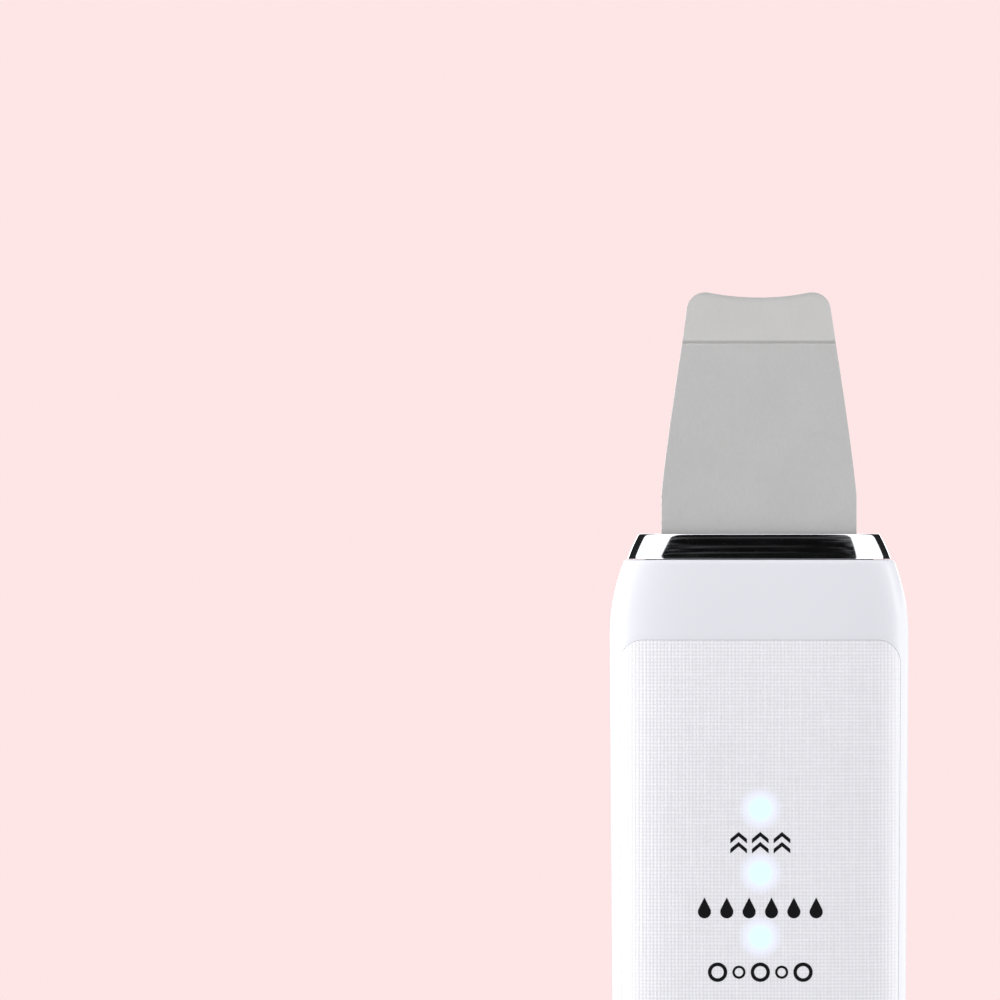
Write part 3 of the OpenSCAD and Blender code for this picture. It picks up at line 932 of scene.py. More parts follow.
class FinishBook:
    """Every finish of the object, under the record's material slot names."""

    def __init__(self, lights: Sequence[Point]) -> None:
        """Writes the book.

        Args:
            lights: Places of the lights behind the panel, across and up.
        """
        finishes = {
            "white_shell": Moulded(
                "white_satin", (0.735, 0.735, 0.775), 0.38, 1.5, 0.006, 0.02, 0.0006, coat=0.25
            ),
            "woven_panel": Woven("woven_white", (0.86, 0.855, 0.885), 0.4, lights=tuple(lights)),
            "collar_chrome": Metal(
                "bright_chrome", (0.82, 0.82, 0.85), 0.06, (3, 3, 0.4), 0.02, 0.02, 0.0004
            ),
            "blade_steel": Metal(
                "satin_steel", (0.581, 0.572, 0.56), 0.45, (0.2, 0.2, 0.5), 0.13, 0.04, 0.0012
            ),
            "cap_metal": Metal("dished_aluminium", (0.8, 0.8, 0.83), 0.34, (4, 4, 0.05), 0.03, 0.04, 0.001),
            "seal_rubber": Moulded("seal_silicone", (0.045, 0.045, 0.05), 0.6, 0.2, 0.08, 0.08, 0.01),
            "clamp_aluminium": Metal(
                "cast_aluminium", (0.55, 0.55, 0.57), 0.45, (0.3, 0.3, 0.3), 0.08, 0.1, 0.01
            ),
            "piezo_ceramic": Metal(
                "silvered_ceramic", (0.75, 0.66, 0.5), 0.35, (0.4, 0.4, 0.4), 0.06, 0.08, 0.004
            ),
            "grey_foam": Moulded("cell_foam", (0.12, 0.12, 0.13), 0.85, 0.25, 0.25, 0.08, 0.06),
            "board_laminate": Moulded(
                "solder_mask", (0.015, 0.13, 0.05), 0.32, 0.35, 0.15, 0.08, 0.006, coat=0.4
            ),
            "chip_black": Moulded("moulding_black", (0.02, 0.02, 0.022), 0.5, 0.15, 0.15, 0.08, 0.006),
            "ferrite": Moulded("sintered_ferrite", (0.035, 0.035, 0.04), 0.6, 0.12, 0.2, 0.1, 0.01),
            "coil_tape": Moulded("winding_tape", (0.62, 0.38, 0.06), 0.35, 0.5, 0.12, 0.08, 0.01),
            "capacitor_sleeve": Moulded("shrink_sleeve", (0.012, 0.02, 0.12), 0.4, 0.4, 0.1, 0.06, 0.004),
            "chip_ceramic": Moulded("fired_ceramic", (0.32, 0.2, 0.1), 0.5, 0.1, 0.2, 0.1, 0.004),
            "led_package": Lamp("lit_package", (0.75, 0.97, 1.0), 0.3, 2.0),
            "light_guide": Lamp("lit_guide", (0.7, 0.95, 1.0), 0.12, 0.8),
            "plunger_grey": Moulded("plunger_plastic", (0.1, 0.1, 0.105), 0.45, 0.2, 0.06, 0.06, 0.004),
            "plated_steel": Metal(
                "nickel_plate", (0.7, 0.69, 0.66), 0.36, (0.3, 0.3, 0.3), 0.05, 0.06, 0.002
            ),
            "cell_film": Metal("laminate_film", (0.5, 0.54, 0.6), 0.38, (1.2, 1.2, 1.2), 0.05, 0.08, 0.02),
            "header_nylon": Moulded("header_plastic", (0.7, 0.66, 0.55), 0.45, 0.25, 0.05, 0.06, 0.004),
            "red_insulation": Moulded("red_sleeve", (0.45, 0.02, 0.02), 0.42, 0.4, 0.06, 0.05, 0.004),
            "black_insulation": Moulded("black_sleeve", (0.02, 0.02, 0.02), 0.42, 0.4, 0.08, 0.05, 0.004),
            "spring_bronze": Metal(
                "rolled_bronze", (0.72, 0.48, 0.24), 0.3, (0.1, 2, 0.1), 0.05, 0.06, 0.002
            ),
        }
        self.materials = {slot: finish.material() for slot, finish in finishes.items()}
        black = Moulded("printed_black", (0.004, 0.004, 0.005), 0.6, 0.08, 0.1, 0.08, 0.001, shine=0.1)
        grey = Moulded("printed_grey", (0.2, 0.2, 0.21), 0.5, 0.08, 0.1, 0.08, 0.001)
        self.ink = black.material()
        self.grey_ink = grey.material()


class Bench:
    """Dresses finished meshes and fixes them to the frame."""

    def __init__(self, book: FinishBook) -> None:
        """Sets up the bench.

        Args:
            book: The object's finishes.
        """
        self.book = book
        self.slots = {part["node"]: part["material_slot"] for part in frame["record"]["subparts"]}

    def fit(self, piece: bpy.types.Object, body: Body, *nodes: str) -> None:
        """Puts a piece in the place of CAD nodes, with their slot's finish.

        Args:
            piece: The finished mesh.
            body: The body it moves with.
            nodes: The CAD nodes it stands for.
        """
        name = self.slots[nodes[0]]
        piece.data.materials.clear()
        piece.data.materials.append(self.book.materials[name])
        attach(piece, body.value)
        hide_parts(*nodes)
        log.info("%s: %d faces in place of %s", piece.name, len(piece.data.polygons), ", ".join(nodes))

    def print_on(self, piece: bpy.types.Object, body: Body, ink: bpy.types.Material) -> None:
        """Fixes a printed sign to a body.

        Args:
            piece: The sign's mesh.
            body: The body it is printed on.
            ink: Its material.
        """
        piece.data.materials.clear()
        piece.data.materials.append(ink)
        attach(piece, body.value)
        log.info("%s: %d faces of print", piece.name, len(piece.data.polygons))


# ---------------------------------------------------------------- the handle's shells and inlays


@dataclass
class HalfShell:
    """One half of the handle: an outer skin open at its inlay, an inner skin, and the rims between.

    The inlay lies in a pocket behind a shallow dip in the skin, on a ledge that the inner skin ends at.
    """

    name: str
    form: HandleForm
    side: Side
    inlay: Inlay
    wall: float
    gap: float = 0.03
    dip_width: float = 0.75
    dip_depth: float = 0.05
    pocket: float = 0.85
    ledge_width: float = 2.0
    joint_edge: float = 0.22
    lip_edge: float = 0.3
    foot_wall: float = 2.6
    top_wall: float = 2.2
    side_columns: int = 18
    joint_steps: int = 3
    easing: float = 2.1
    foot_rings: int = 18
    above_foot_rows: int = 14
    head_rows: int = 22
    dip_steps: int = 6
    foot_scales: tuple[float, ...] = (0, 0.3, 0.6, 0.85)
    top_insets: tuple[float, ...] = (0.7, 1.4, 2.6)
    inner_follow: float = 0.3
    sharp_angle: float = 28

    def section(self, half: float, depth: float, edge: float, rounded: bool) -> list[Point]:
        """Lists the points of half a section, from the right of the joint round to its left.

        Args:
            half: Half width of the section.
            depth: Depth of the section.
            edge: Half width of the inlay's opening there.
            rounded: Whether the edge at the joint is rounded.

        Returns:
            Pairs of X and the distance from the joint plane.
        """
        radius = self.joint_edge
        right = []
        for setback, fall in round_steps(radius, self.joint_steps)[::-1][:-1]:
            right.append((half * self.form.rise(setback / depth) - (fall if rounded else 0), setback))
        power = 2 / self.form.squareness
        start = math.asin((radius / depth) ** (1 / power))
        stop = math.acos((edge / half) ** (1 / power))
        begin = (start / stop) ** (1 / self.easing)
        for share in spread(begin, 1, self.side_columns):
            turn = stop * share**self.easing
            right.append((half * math.cos(turn) ** power, depth * math.sin(turn) ** power))
        middle = []
        for i in range(1, self.inlay.columns):
            x = edge * (1 - 2 * i / self.inlay.columns)
            middle.append((x, depth * self.form.rise(x / half)))
        return right + middle + [(-x, y) for x, y in right[::-1]]

    def stations(self) -> tuple[list[tuple], int]:
        """Lists the sections from the foot to the slot at the top.

        Returns:
            Rows of (height, inset, scale, inner height, opening's half width or None, and the same of
            the inner skin), and the number of the first row that the inlay's opening takes.
        """
        form, inlay = self.form, self.inlay
        grow = self.gap + self.dip_width
        low_end = inlay.row(0, grow)[1]
        turn_end = math.acos(1 - min(low_end, form.foot_run) / form.foot_run)
        foot = [form.foot_run * (1 - math.cos(turn)) for turn in spread(0, turn_end, self.foot_rings)]
        if low_end > form.foot_run:
            foot += spread(form.foot_run, low_end, self.above_foot_rows)[1:]
        rows = [(0.0, 0.0, scale, self.foot_wall, None, None) for scale in self.foot_scales]
        rows += [(z, 0.0, 1.0, self.inner_height(z), None, None) for z in foot[:-1]]
        first = len(rows)
        for index in range(inlay.row_count):
            edge, z = inlay.row(index, grow)
            inner_edge, inner_z = inlay.row(index, -self.ledge_width)
            rows.append((z, 0.0, 1.0, inner_z, edge, inner_edge))
        high_start = rows[-1][0]
        lip = form.height - self.lip_edge
        rows += [(z, 0.0, 1.0, self.inner_height(z), None, None)
                 for z in spread(high_start, lip, self.head_rows)[1:]]
        roof = form.height - self.top_wall
        for setback, fall in round_steps(self.lip_edge)[1:]:
            rows.append((form.height - setback, fall, 1.0, roof, None, None))
        rows += [(form.height, inset, 1.0, roof, None, None) for inset in self.top_insets]
        return rows, first

    def inner_height(self, z: float) -> float:
        """Gives the inner skin's height for a height of the outer skin.

        Args:
            z: Height on the outer skin.

        Returns:
            The height, squeezed towards the middle near the foot and the top.
        """
        form = self.form
        roof = form.height - self.top_wall
        if z < form.foot_run:
            return self.foot_wall + z * (1 - self.foot_wall / form.foot_run)
        span = form.height - form.taper_run
        return z if z < span else span + (z - span) * (roof - span) / (form.height - span)

    def build(self) -> bpy.types.Object:
        """Builds the half shell.

        Returns:
            The piece, a closed solid.
        """
        form, inlay, side = self.form, self.inlay, self.side
        builder = MeshBuilder(self.name)
        rows, first = self.stations()
        last = first + inlay.row_count - 1
        ratios = {True: rows[first][4] / form.half_width(rows[first][0]),
                  False: rows[last][4] / form.half_width(rows[last][0])}
        outer, inner = [], []
        for number, (z, inset, scale, inner_z, edge, inner_edge) in enumerate(rows):
            half, depth = form.half_width(z) - inset, form.depth(z, side) - inset
            share = ratios[number < first]
            points = self.section(half, depth, half * share if edge is None else edge, True)
            outer.append(builder.points([(x * scale, side.value * y * scale, z) for x, y in points]))
            inner_inset = self.wall + max(0.0, inset - self.lip_edge) * self.inner_follow
            half = form.half_width(inner_z) - inner_inset
            depth = form.depth(inner_z, side) - inner_inset
            points = self.section(half, depth, half * share if inner_edge is None else inner_edge, False)
            inner.append(builder.points([(x * scale, side.value * y * scale, inner_z) for x, y in points]))
        left = self.joint_steps + self.side_columns
        right = left + inlay.columns
        for skin in (outer, inner):
            for number, (one, two) in enumerate(zip(skin, skin[1:])):
                if first <= number < last:
                    builder.quads(one[: left + 1], two[: left + 1])
                    builder.quads(one[right:], two[right:])
                else:
                    builder.quads(one, two)
        border = loop_of([row[left : right + 1] for row in outer[first : last + 1]])
        far_border = loop_of([row[left : right + 1] for row in inner[first : last + 1]])
        lift = form.lift(side)
        loops = [border]
        for share in spread(0, 1, self.dip_steps)[1:]:
            flat = loop_of(inlay.grid(self.gap + self.dip_width * (1 - share)))
            fall = self.dip_depth * ease(share)
            loops.append(builder.points([lift(x, z, fall) for x, z in flat]))
        for grow in (self.gap, -self.ledge_width / 2, -self.ledge_width):
            flat = loop_of(inlay.grid(grow))
            loops.append(builder.points([lift(x, z, self.pocket) for x, z in flat]))
        loops.append(far_border)
        for one, two in zip(loops, loops[1:]):
            builder.quads(one, two, closed=True)
        for column in (0, -1):
            builder.quads([row[column] for row in outer], [row[column] for row in inner])
        builder.quads(outer[-1], inner[-1])
        return builder.object(self.sharp_angle)


@dataclass
class HandleShells:
    """The two shells, with the charging opening and the sunk screw holes."""

    form: HandleForm
    panel: Inlay
    plate: Inlay
    wall: float = 1.8
    opening_half: Point = (4.3, 1.65)
    opening_corner: float = 0.9
    opening_ends: Point = (-1, 4)
    cap_radius: float = 2.52
    cap_hole_ends: Point = (1.5, 14)

    def build(self, bench: Bench) -> None:
        """Builds both shells and fits them.

        Args:
            bench: Where the pieces are dressed.
        """
        front = HalfShell("front_shell_skin", self.form, Side.FRONT, self.panel, self.wall).build()
        cut(front, [self.socket_cutter()])
        bench.fit(front, Body.HANDLE, "front_shell")
        rear = HalfShell("rear_shell_skin", self.form, Side.BACK, self.plate, self.wall).build()
        cut(rear, [cutter_rod(x, z, self.cap_radius, *self.cap_hole_ends) for x, z in ScrewCaps.places()])
        bench.fit(rear, Body.HANDLE, "rear_shell")

    def socket_cutter(self) -> bpy.types.Object:
        """Makes the shape of the charging opening in the foot.

        Returns:
            The cutter.
        """
        centre = cad_centre("usb_socket_shell")
        start, end = self.opening_ends
        outline = rounded_box(*self.opening_half, self.opening_corner)
        places = [Vector((centre.x + x, centre.y + y, start)) for x, y in outline]
        return cutter(places, Vector((0, 0, end - start)))


def rounded_box(half_width: float, half_height: float, radius: float, steps: int = 8) -> list[Point]:
    """Lists the outline of a rectangle with rounded corners.

    Args:
        half_width: Half of its width.
        half_height: Half of its height.
        radius: Radius of its corners.
        steps: Chords in each corner.

    Returns:
        The points, anticlockwise.
    """
    points = []
    for quarter, (sx, sy) in enumerate(((1, 1), (-1, 1), (-1, -1), (1, -1))):
        for turn in spread(quarter * math.pi / 2, (quarter + 1) * math.pi / 2, steps):
            x = sx * (half_width - radius) + radius * math.cos(turn)
            points.append((x, sy * (half_height - radius) + radius * math.sin(turn)))
    return points


@dataclass
class FrontPanel:
    """The woven panel, cut for the two buttons, and the signs printed beside its lights."""

    form: HandleForm
    outline: Inlay
    thickness: float = 0.75
    edge: float = 0.06
    sunk: float = 0.05
    ink: float = 0.02
    sign_drop: float = 5.25
    small_bubble: float = 0.68
    ring_gap: float = 0.03
    ring_hole_ends: Point = (-12, -4)

    def build(self, bench: Bench) -> None:
        """Builds the panel and its print, and fits them.

        Args:
            bench: Where the pieces are dressed.
        """
        lift = self.form.lift(Side.FRONT)
        panel = slab("front_panel_weave", self.outline.grid, lift, self.thickness, self.edge, self.sunk)
        rods = []
        for node in ("power_bezel", "mode_bezel"):
            low, high = cad_box(node)
            radius = (high.x - low.x) / 2 + self.ring_gap
            rods.append(cutter_rod(0, (low.z + high.z) / 2, radius, *self.ring_hole_ends))
        cut(panel, rods)
        bench.fit(panel, Body.HANDLE, "front_panel")
        signs = (
            ("lifting_sign", "light_pipe_1", Sign.CHEVRON, 3, 3.25),
            ("moisture_sign", "light_pipe_2", Sign.DROP, 6, 3.35),
            ("cleansing_sign", "light_pipe_3", Sign.BUBBLE, 5, 3.2),
        )
        for name, light, shape, count, pitch in signs:
            z = cad_centre(light).z - self.sign_drop
            bench.print_on(self.sign(name, shape, count, pitch, z), Body.HANDLE, bench.book.ink)

    def sign(self, name: str, shape: Sign, count: int, pitch: float, z: float) -> bpy.types.Object:
        """Prints one row of shapes on the panel.

        Args:
            name: Name of the piece.
            shape: The shape that is repeated.
            count: How many there are.
            pitch: Distance between them.
            z: Height of the row.

        Returns:
            The piece.
        """
        builder = MeshBuilder(name)
        lift = self.form.lift(Side.FRONT)
        for i in range(count):
            x = (i - (count - 1) / 2) * pitch
            size = 1 if shape is not Sign.BUBBLE or i % 2 == 0 else self.small_bubble
            for one, two, closed in sign_lines(shape, size):
                print_strip(builder, (one, two), lift, (x, z), self.ink - self.sunk, closed)
        return builder.object()


def sign_lines(shape: Sign, size: float) -> list[tuple[list[Point], list[Point], bool]]:
    """Lists the pairs of lines that one printed shape lies between, about its own middle.

    Args:
        shape: Which shape.
        size: Its size, 1 for the plain size.

    Returns:
        Two lines with as many points, and whether they close on themselves.
    """
    if shape is Sign.CHEVRON:
        half, rise, stroke = 1.25, 1.05, 0.66
        lines = []
        for base in (-1.4, 0.1):
            lower = [(-half, base), (0, base + rise), (half, base)]
            lines.append((lower, [(x, z + stroke) for x, z in lower], False))
        return lines
    if shape is Sign.DROP:
        bowl, middle, tip = 0.98, -0.55, 1.6
        turns = spread(-math.pi / 2, math.radians(30), 14)
        right = [(bowl * math.cos(turn), bowl * math.sin(turn) + middle) for turn in turns] + [(0.0, tip)]
        return [(right, [(-x, z) for x, z in right], False)]
    turns = [2 * math.pi * i / 32 for i in range(32)]
    inner, outer = [[(radius * size * math.cos(turn), radius * size * math.sin(turn)) for turn in turns]
                    for radius in (0.92, 1.45)]
    return [(inner, outer, True)]


def print_strip(
    builder: MeshBuilder,
    lines: tuple[Sequence[Point], Sequence[Point]],
    lift: Lift,
    centre: Point,
    height: float,
    closed: bool = False,
) -> None:
    """Adds one thin raised shape that lies between two lines.

    Args:
        builder: The print's mesh.
        lines: The two lines about the shape's middle, with as many points.
        lift: Lays a point at a depth below the printed face.
        centre: Place of its middle.
        height: Height of the print above the face.
        closed: Whether the lines close on themselves.
    """
    thickness = 0.04
    (one, two), (three, four) = (
        [builder.points([lift(centre[0] + x, centre[1] + z, depth) for x, z in line]) for line in lines]
        for depth in (-height, thickness - height)
    )
    for first, second in ((one, two), (three, four), (one, three), (two, four)):
        builder.quads(first, second, closed)
    if not closed:
        for end in (0, -1):
            builder.bm.faces.new((one[end], two[end], four[end], three[end]))


@dataclass
class PalmPlate:
    """The steel plate on the back, against the palm."""

    form: HandleForm
    outline: Inlay
    thickness: float = 0.8
    edge: float = 0.25

    def build(self, bench: Bench) -> None:
        """Builds the plate and fits it.

        Args:
            bench: Where the piece is dressed.
        """
        lift = self.form.lift(Side.BACK)
        plate = slab("rear_electrode_plate", self.outline.grid, lift, self.thickness, self.edge)
        bench.fit(plate, Body.HANDLE, "rear_electrode")


@dataclass
class ScrewCaps:
    """The four plugs over the shell screws, flush with the back."""

    form: HandleForm
    radius: float = 2.42
    thickness: float = 1.6
    edge: float = 0.2
    sunk: float = 0.05
    cells: int = 12

    @staticmethod
    def places() -> list[Point]:
        """Finds the caps, one in each quarter of the back, in the middle of their CAD shapes.

        Returns:
            Pairs of X and Z.
        """
        mesh = frame["nodes"]["screw_caps"].data
        corners = [vertex.co / MM for vertex in mesh.vertices]
        middle = cad_centre("screw_caps")
        found = []
        for right in (False, True):
            for upper in (False, True):
                near = [c for c in corners if (c.x > middle.x) == right and (c.z > middle.z) == upper]
                x = (min(c.x for c in near) + max(c.x for c in near)) / 2
                z = (min(c.z for c in near) + max(c.z for c in near)) / 2
                found.append((x, z))
        return found

    def build(self, bench: Bench) -> None:
        """Builds the plugs as one piece and fits it.

        Args:
            bench: Where the piece is dressed.
        """
        lift = self.form.lift(Side.BACK)
        plugs = [slab(f"plug_{i}", self.disc(x, z), lift, self.thickness, self.edge, self.sunk)
                 for i, (x, z) in enumerate(self.places())]
        builder = MeshBuilder("screw_cap_plugs")
        for plug in plugs:
            builder.bm.from_mesh(plug.data)
            bpy.data.meshes.remove(plug.data)
        bench.fit(builder.object(), Body.HANDLE, "screw_caps")

    def disc(self, x: float, z: float) -> Callable[[float], list[list[Point]]]:
        """Gives the rows of points of a round outline.

        Args:
            x: Middle of the disc across the handle.
            z: Middle of the disc up the handle.

        Returns:
            A function of the outline's growth.
        """

        def grid(grow: float) -> list[list[Point]]:
            """Bends a square of cells into the disc.

            Args:
                grow: How far the disc is grown all round.

            Returns:
                The rows, from the foot up.
            """
            radius = self.radius + grow
            rows = []
            for v in spread(-1, 1, self.cells):
                row = []
                for u in spread(1, -1, self.cells):
                    across = u * math.sqrt(1 - v * v / 2) * radius
                    row.append((x + across, z + v * math.sqrt(1 - u * u / 2) * radius))
                rows.append(row)
            return rows

        return grid


# ---------------------------------------------------------------- collar, seal and blade


@dataclass(frozen=True)
class RingShape:
    """A closed superellipse ring, with its own depth at the front and at the back."""

    half: float
    front: float
    back: float
    squareness: float = 4.2
    quarter: int = 26

    def at(self, z: float, inset: float = 0) -> list[Vector]:
        """Lists the ring's points.

        Args:
            z: Height of the ring.
            inset: How far it is pulled in.

        Returns:
            The points, in order.
        """
        power = 2 / self.squareness
        points = []
        for index in range(4 * self.quarter):
            share = index % self.quarter / self.quarter
            turn = math.pi / 2 * (index // self.quarter + ease(share))
            cosine, sine = math.cos(turn), math.sin(turn)
            depth = (self.front if sine < 0 else self.back) - inset
            x = math.copysign(abs(cosine) ** power, cosine) * (self.half - inset)
            points.append(Vector((x, math.copysign(abs(sine) ** power, sine) * depth, z)))
        return points


@dataclass
class BladeHead:
    """The chrome collar, the rubber seal in its slot and the bent blade."""

    collar_foot: RingShape = RingShape(19.85, 5.85, 6.15)
    collar_top: RingShape = RingShape(18.1, 4.2, 4.5)
    neck: RingShape = RingShape(16.6, 3.35, 3.35, 9)
    slot: RingShape = RingShape(15.75, 2.45, 2.45, 9)
    slit: RingShape = RingShape(14.76, 0.36, 0.36, 9)
    lip: RingShape = RingShape(15.68, 2.38, 2.38, 9)
    edge: float = 0.14
    slot_edge: float = 0.15
    slope_ends: Point = (0.94, 0.05)
    slope_rows: int = 12
    foot_gap: float = 0.11
    foot_edge: float = 0.05
    neck_flare: float = 0.6
    bulge: float = 0.12
    collar_sharp: float = 30
    seal_sunk: float = 0.35
    seal_edge: float = 0.3
    seal_side: float = 0.4
    seal_dome: float = 0.18
    seal_ends: Point = (0.2, 0.85)
    thickness: float = 0.6
    blade_edge: float = 0.04
    lean: float = 14
    bend_run: float = 0.12
    crease_depth: float = 0.23
    crease_width: float = 0.16

    def build(self, bench: Bench) -> None:
        """Builds the three pieces and fits them.

        Args:
            bench: Where the pieces are dressed.
        """
        bench.fit(self.collar(), Body.HANDLE, "head_collar")
        bench.fit(self.seal(), Body.HANDLE, "blade_seal")
        outline = BladeOutline.from_frame()
        blade = slab("blade_plate", outline.grid, self.blade_lift(outline.bend), self.thickness,
                     self.blade_edge, both_edges=True)
        bench.fit(blade, Body.HANDLE, "blade")

    def collar(self) -> bpy.types.Object:
        """Builds the collar as one closed ring, from the slot over the top and down to the neck.

        Returns:
            The piece.
        """
        low, high = cad_box("head_collar")
        top = high.z
        foot = cad_box("front_shell")[1].z + self.foot_gap
        slope = (self.collar_top.half - self.collar_foot.half) / (top - foot)
        builder = MeshBuilder("head_collar_ring")
        rings = [self.slot.at(low.z), self.slot.at(top - self.edge)]
        rings += [self.slot.at(top - depth, -setback) for depth, setback in round_steps(self.slot_edge)]
        rings.append(self.collar_top.at(top, self.edge * 3))
        rings += [self.collar_top.at(top - fall, setback + slope * fall)
                  for setback, fall in round_steps(self.edge)]
        rings += [self.blend_ring(share, foot, top) for share in spread(*self.slope_ends, self.slope_rows)]
        rings += [self.collar_foot.at(foot + setback, fall)
                  for setback, fall in round_steps(self.foot_edge)]
        rings += [self.neck.at(foot, -self.neck_flare), self.neck.at(foot - 2 * self.neck_flare)]
        rings.append(self.neck.at(low.z))
        builder.rings(rings)
        return builder.object(self.collar_sharp)

    def blend_ring(self, share: float, foot: float, top: float) -> list[Vector]:
        """Gives a ring on the collar's sloping side.

        Args:
            share: Place on the slope, 0 at its foot and 1 at its top.
            foot: Height of the collar's foot.
            top: Height of the collar's top.

        Returns:
            The ring's points.
        """
        swell = self.bulge * 4 * share * (1 - share)
        one = self.collar_foot.at(foot, -swell)
        two = self.collar_top.at(top, -swell)
        return [a.lerp(b, share) for a, b in zip(one, two)]

    def seal(self) -> bpy.types.Object:
        """Builds the seal as one closed ring with a domed top.

        Returns:
            The piece.
        """
        low = cad_box("blade_seal")[0].z
        top = cad_box("head_collar")[1].z - self.seal_sunk
        builder = MeshBuilder("blade_seal_lip")
        rings = [self.lip.at(low), self.lip.at(top - self.seal_side)]
        rings += [self.lip.at(top - fall, setback)
                  for setback, fall in round_steps(self.seal_edge)[::-1]]
        for share in spread(*self.seal_ends, 5):
            rise = self.seal_dome * math.sin(math.pi * share)
            rings.append([a.lerp(b, share) + Vector((0, 0, rise))
                          for a, b in zip(self.lip.at(top), self.slit.at(top))])
        rings += [self.slit.at(top), self.slit.at(low)]
        builder.rings(rings)
        return builder.object()

    def blade_lift(self, bend: float) -> Lift:
        """Gives the function that lays the blade's outline on its bent strip.

        Args:
            bend: Height of the bend.

        Returns:
            A function of x, height and the depth below the blade's front face.
        """
        slope = math.tan(math.radians(self.lean))
        half = self.thickness / 2

        def place(x: float, z: float, depth: float) -> Vector:
            """Lays a point on the strip, which turns back in a short arc at the bend.

            Args:
                x: Place across the blade.
                z: Height of the point on the blade's middle surface.
                depth: Depth below the front face.

            Returns:
                The point, with the front face's crease along the bend.
            """
            into = max(0.0, min(2 * self.bend_run, z - bend + self.bend_run))
            beyond = max(0.0, z - bend - self.bend_run)
            back = slope * (into**2 / (4 * self.bend_run) + beyond)
            turn = math.atan(slope * into / (2 * self.bend_run))
            offset = half - depth
            if offset > 0:
                offset -= self.crease_depth * math.exp(-(((z - bend) / self.crease_width) ** 2))
            return Vector((x, back - math.cos(turn) * offset, z + math.sin(turn) * offset))

        return place


@dataclass(frozen=True)
class BladeOutline:
    """The blade seen from the front: straight at the collar, narrowing upwards, with a dished tip."""

    RISE: ClassVar[float] = 36.3
    STRAIGHT_RISE: ClassVar[float] = 5.7
    BEND_RISE: ClassVar[float] = 28.8

    root: float
    top: float
    straight_top: float
    bend: float
    half_width: float
    root_half_width: float = 13.9
    root_top: float = 129
    narrowing: float = 3.14
    bow: float = 1.15
    corner_radius: float = 2.8
    peak: float = 7.5
    dip: float = 0.75
    root_blend: float = 0.8
    bend_zone: float = 0.6
    bend_rows: int = 16
    corner_steps: int = 12
    dip_steps: int = 10
    side_rows: int = 26
    tip_rows: int = 9

    @staticmethod
    def from_frame() -> "BladeOutline":
        """Takes the blade's place from the frame.

        Returns:
            The outline, with its heights measured from the collar's top.
        """
        low, high = cad_box("blade")
        collar = cad_box("head_collar")[1].z
        rises = (BladeOutline.RISE, BladeOutline.STRAIGHT_RISE, BladeOutline.BEND_RISE)
        return BladeOutline(low.z, *(collar + rise for rise in rises), high.x)

    def half_at(self, z: float) -> float:
        """Gives half of the blade's width at a height.

        Args:
            z: Height of the place.

        Returns:
            The half width.
        """
        share = max(0.0, (z - self.straight_top) / (self.bend - self.straight_top))
        if share > 1:
            return self.half_width - self.narrowing * (1 + self.bow * (share - 1))
        return self.half_width - self.narrowing * share**self.bow

    def tip(self, grow: float) -> list[Point]:
        """Lists the right half of the tip, from the side to the middle of the dip.

        Args:
            grow: How far the outline is grown.

        Returns:
            The points.
        """
        dip_radius = (self.peak**2 + self.dip**2) / (2 * self.dip)
        slope = math.asin(self.peak / dip_radius)
        start = math.atan(self.narrowing * self.bow / (self.bend - self.straight_top))
        x = self.peak + self.corner_radius * math.sin(slope)
        z = self.top - self.corner_radius * math.cos(slope)
        radius = self.corner_radius + grow
        corner = [(x + radius * math.cos(turn), z + radius * math.sin(turn))
                  for turn in spread(start, math.pi / 2 + slope, self.corner_steps)]
        centre = self.top - self.dip + dip_radius
        reach = dip_radius - grow
        hollow = [(reach * math.sin(turn), centre - reach * math.cos(turn))
                  for turn in spread(slope, 0, self.dip_steps)[1:]]
        return corner + hollow

    def grid(self, grow: float) -> list[list[Point]]:
        """Fills the outline with rows of points, from right to left.

        Args:
            grow: How far the outline is grown all round.

        Returns:
            The rows, from the root up.
        """
        tip = self.tip(grow)
        shares = [x / tip[0][0] for x, _ in tip]
        widths = [(self.root - grow, self.root_half_width), (self.root_top, self.root_half_width),
                  (self.root_top + self.root_blend, self.half_width)]
        zone = (self.bend - self.bend_zone, self.bend + self.bend_zone)
        levels = spread(self.straight_top, zone[0], self.side_rows)
        levels += spread(*zone, self.bend_rows)[1:]
        widths += [(z, self.half_at(z)) for z in levels]
        halves = [[((half + grow) * share, z) for share in shares] for z, half in widths]
        base = halves[-1]
        for part in spread(0, 1, self.tip_rows)[1:]:
            halves.append([(a + (c - a) * part, b + (d - b) * part)
                           for (a, b), (c, d) in zip(base, tip)])
        return [row + [(-x, z) for x, z in row[-2::-1]] for row in halves]


# ---------------------------------------------------------------- buttons


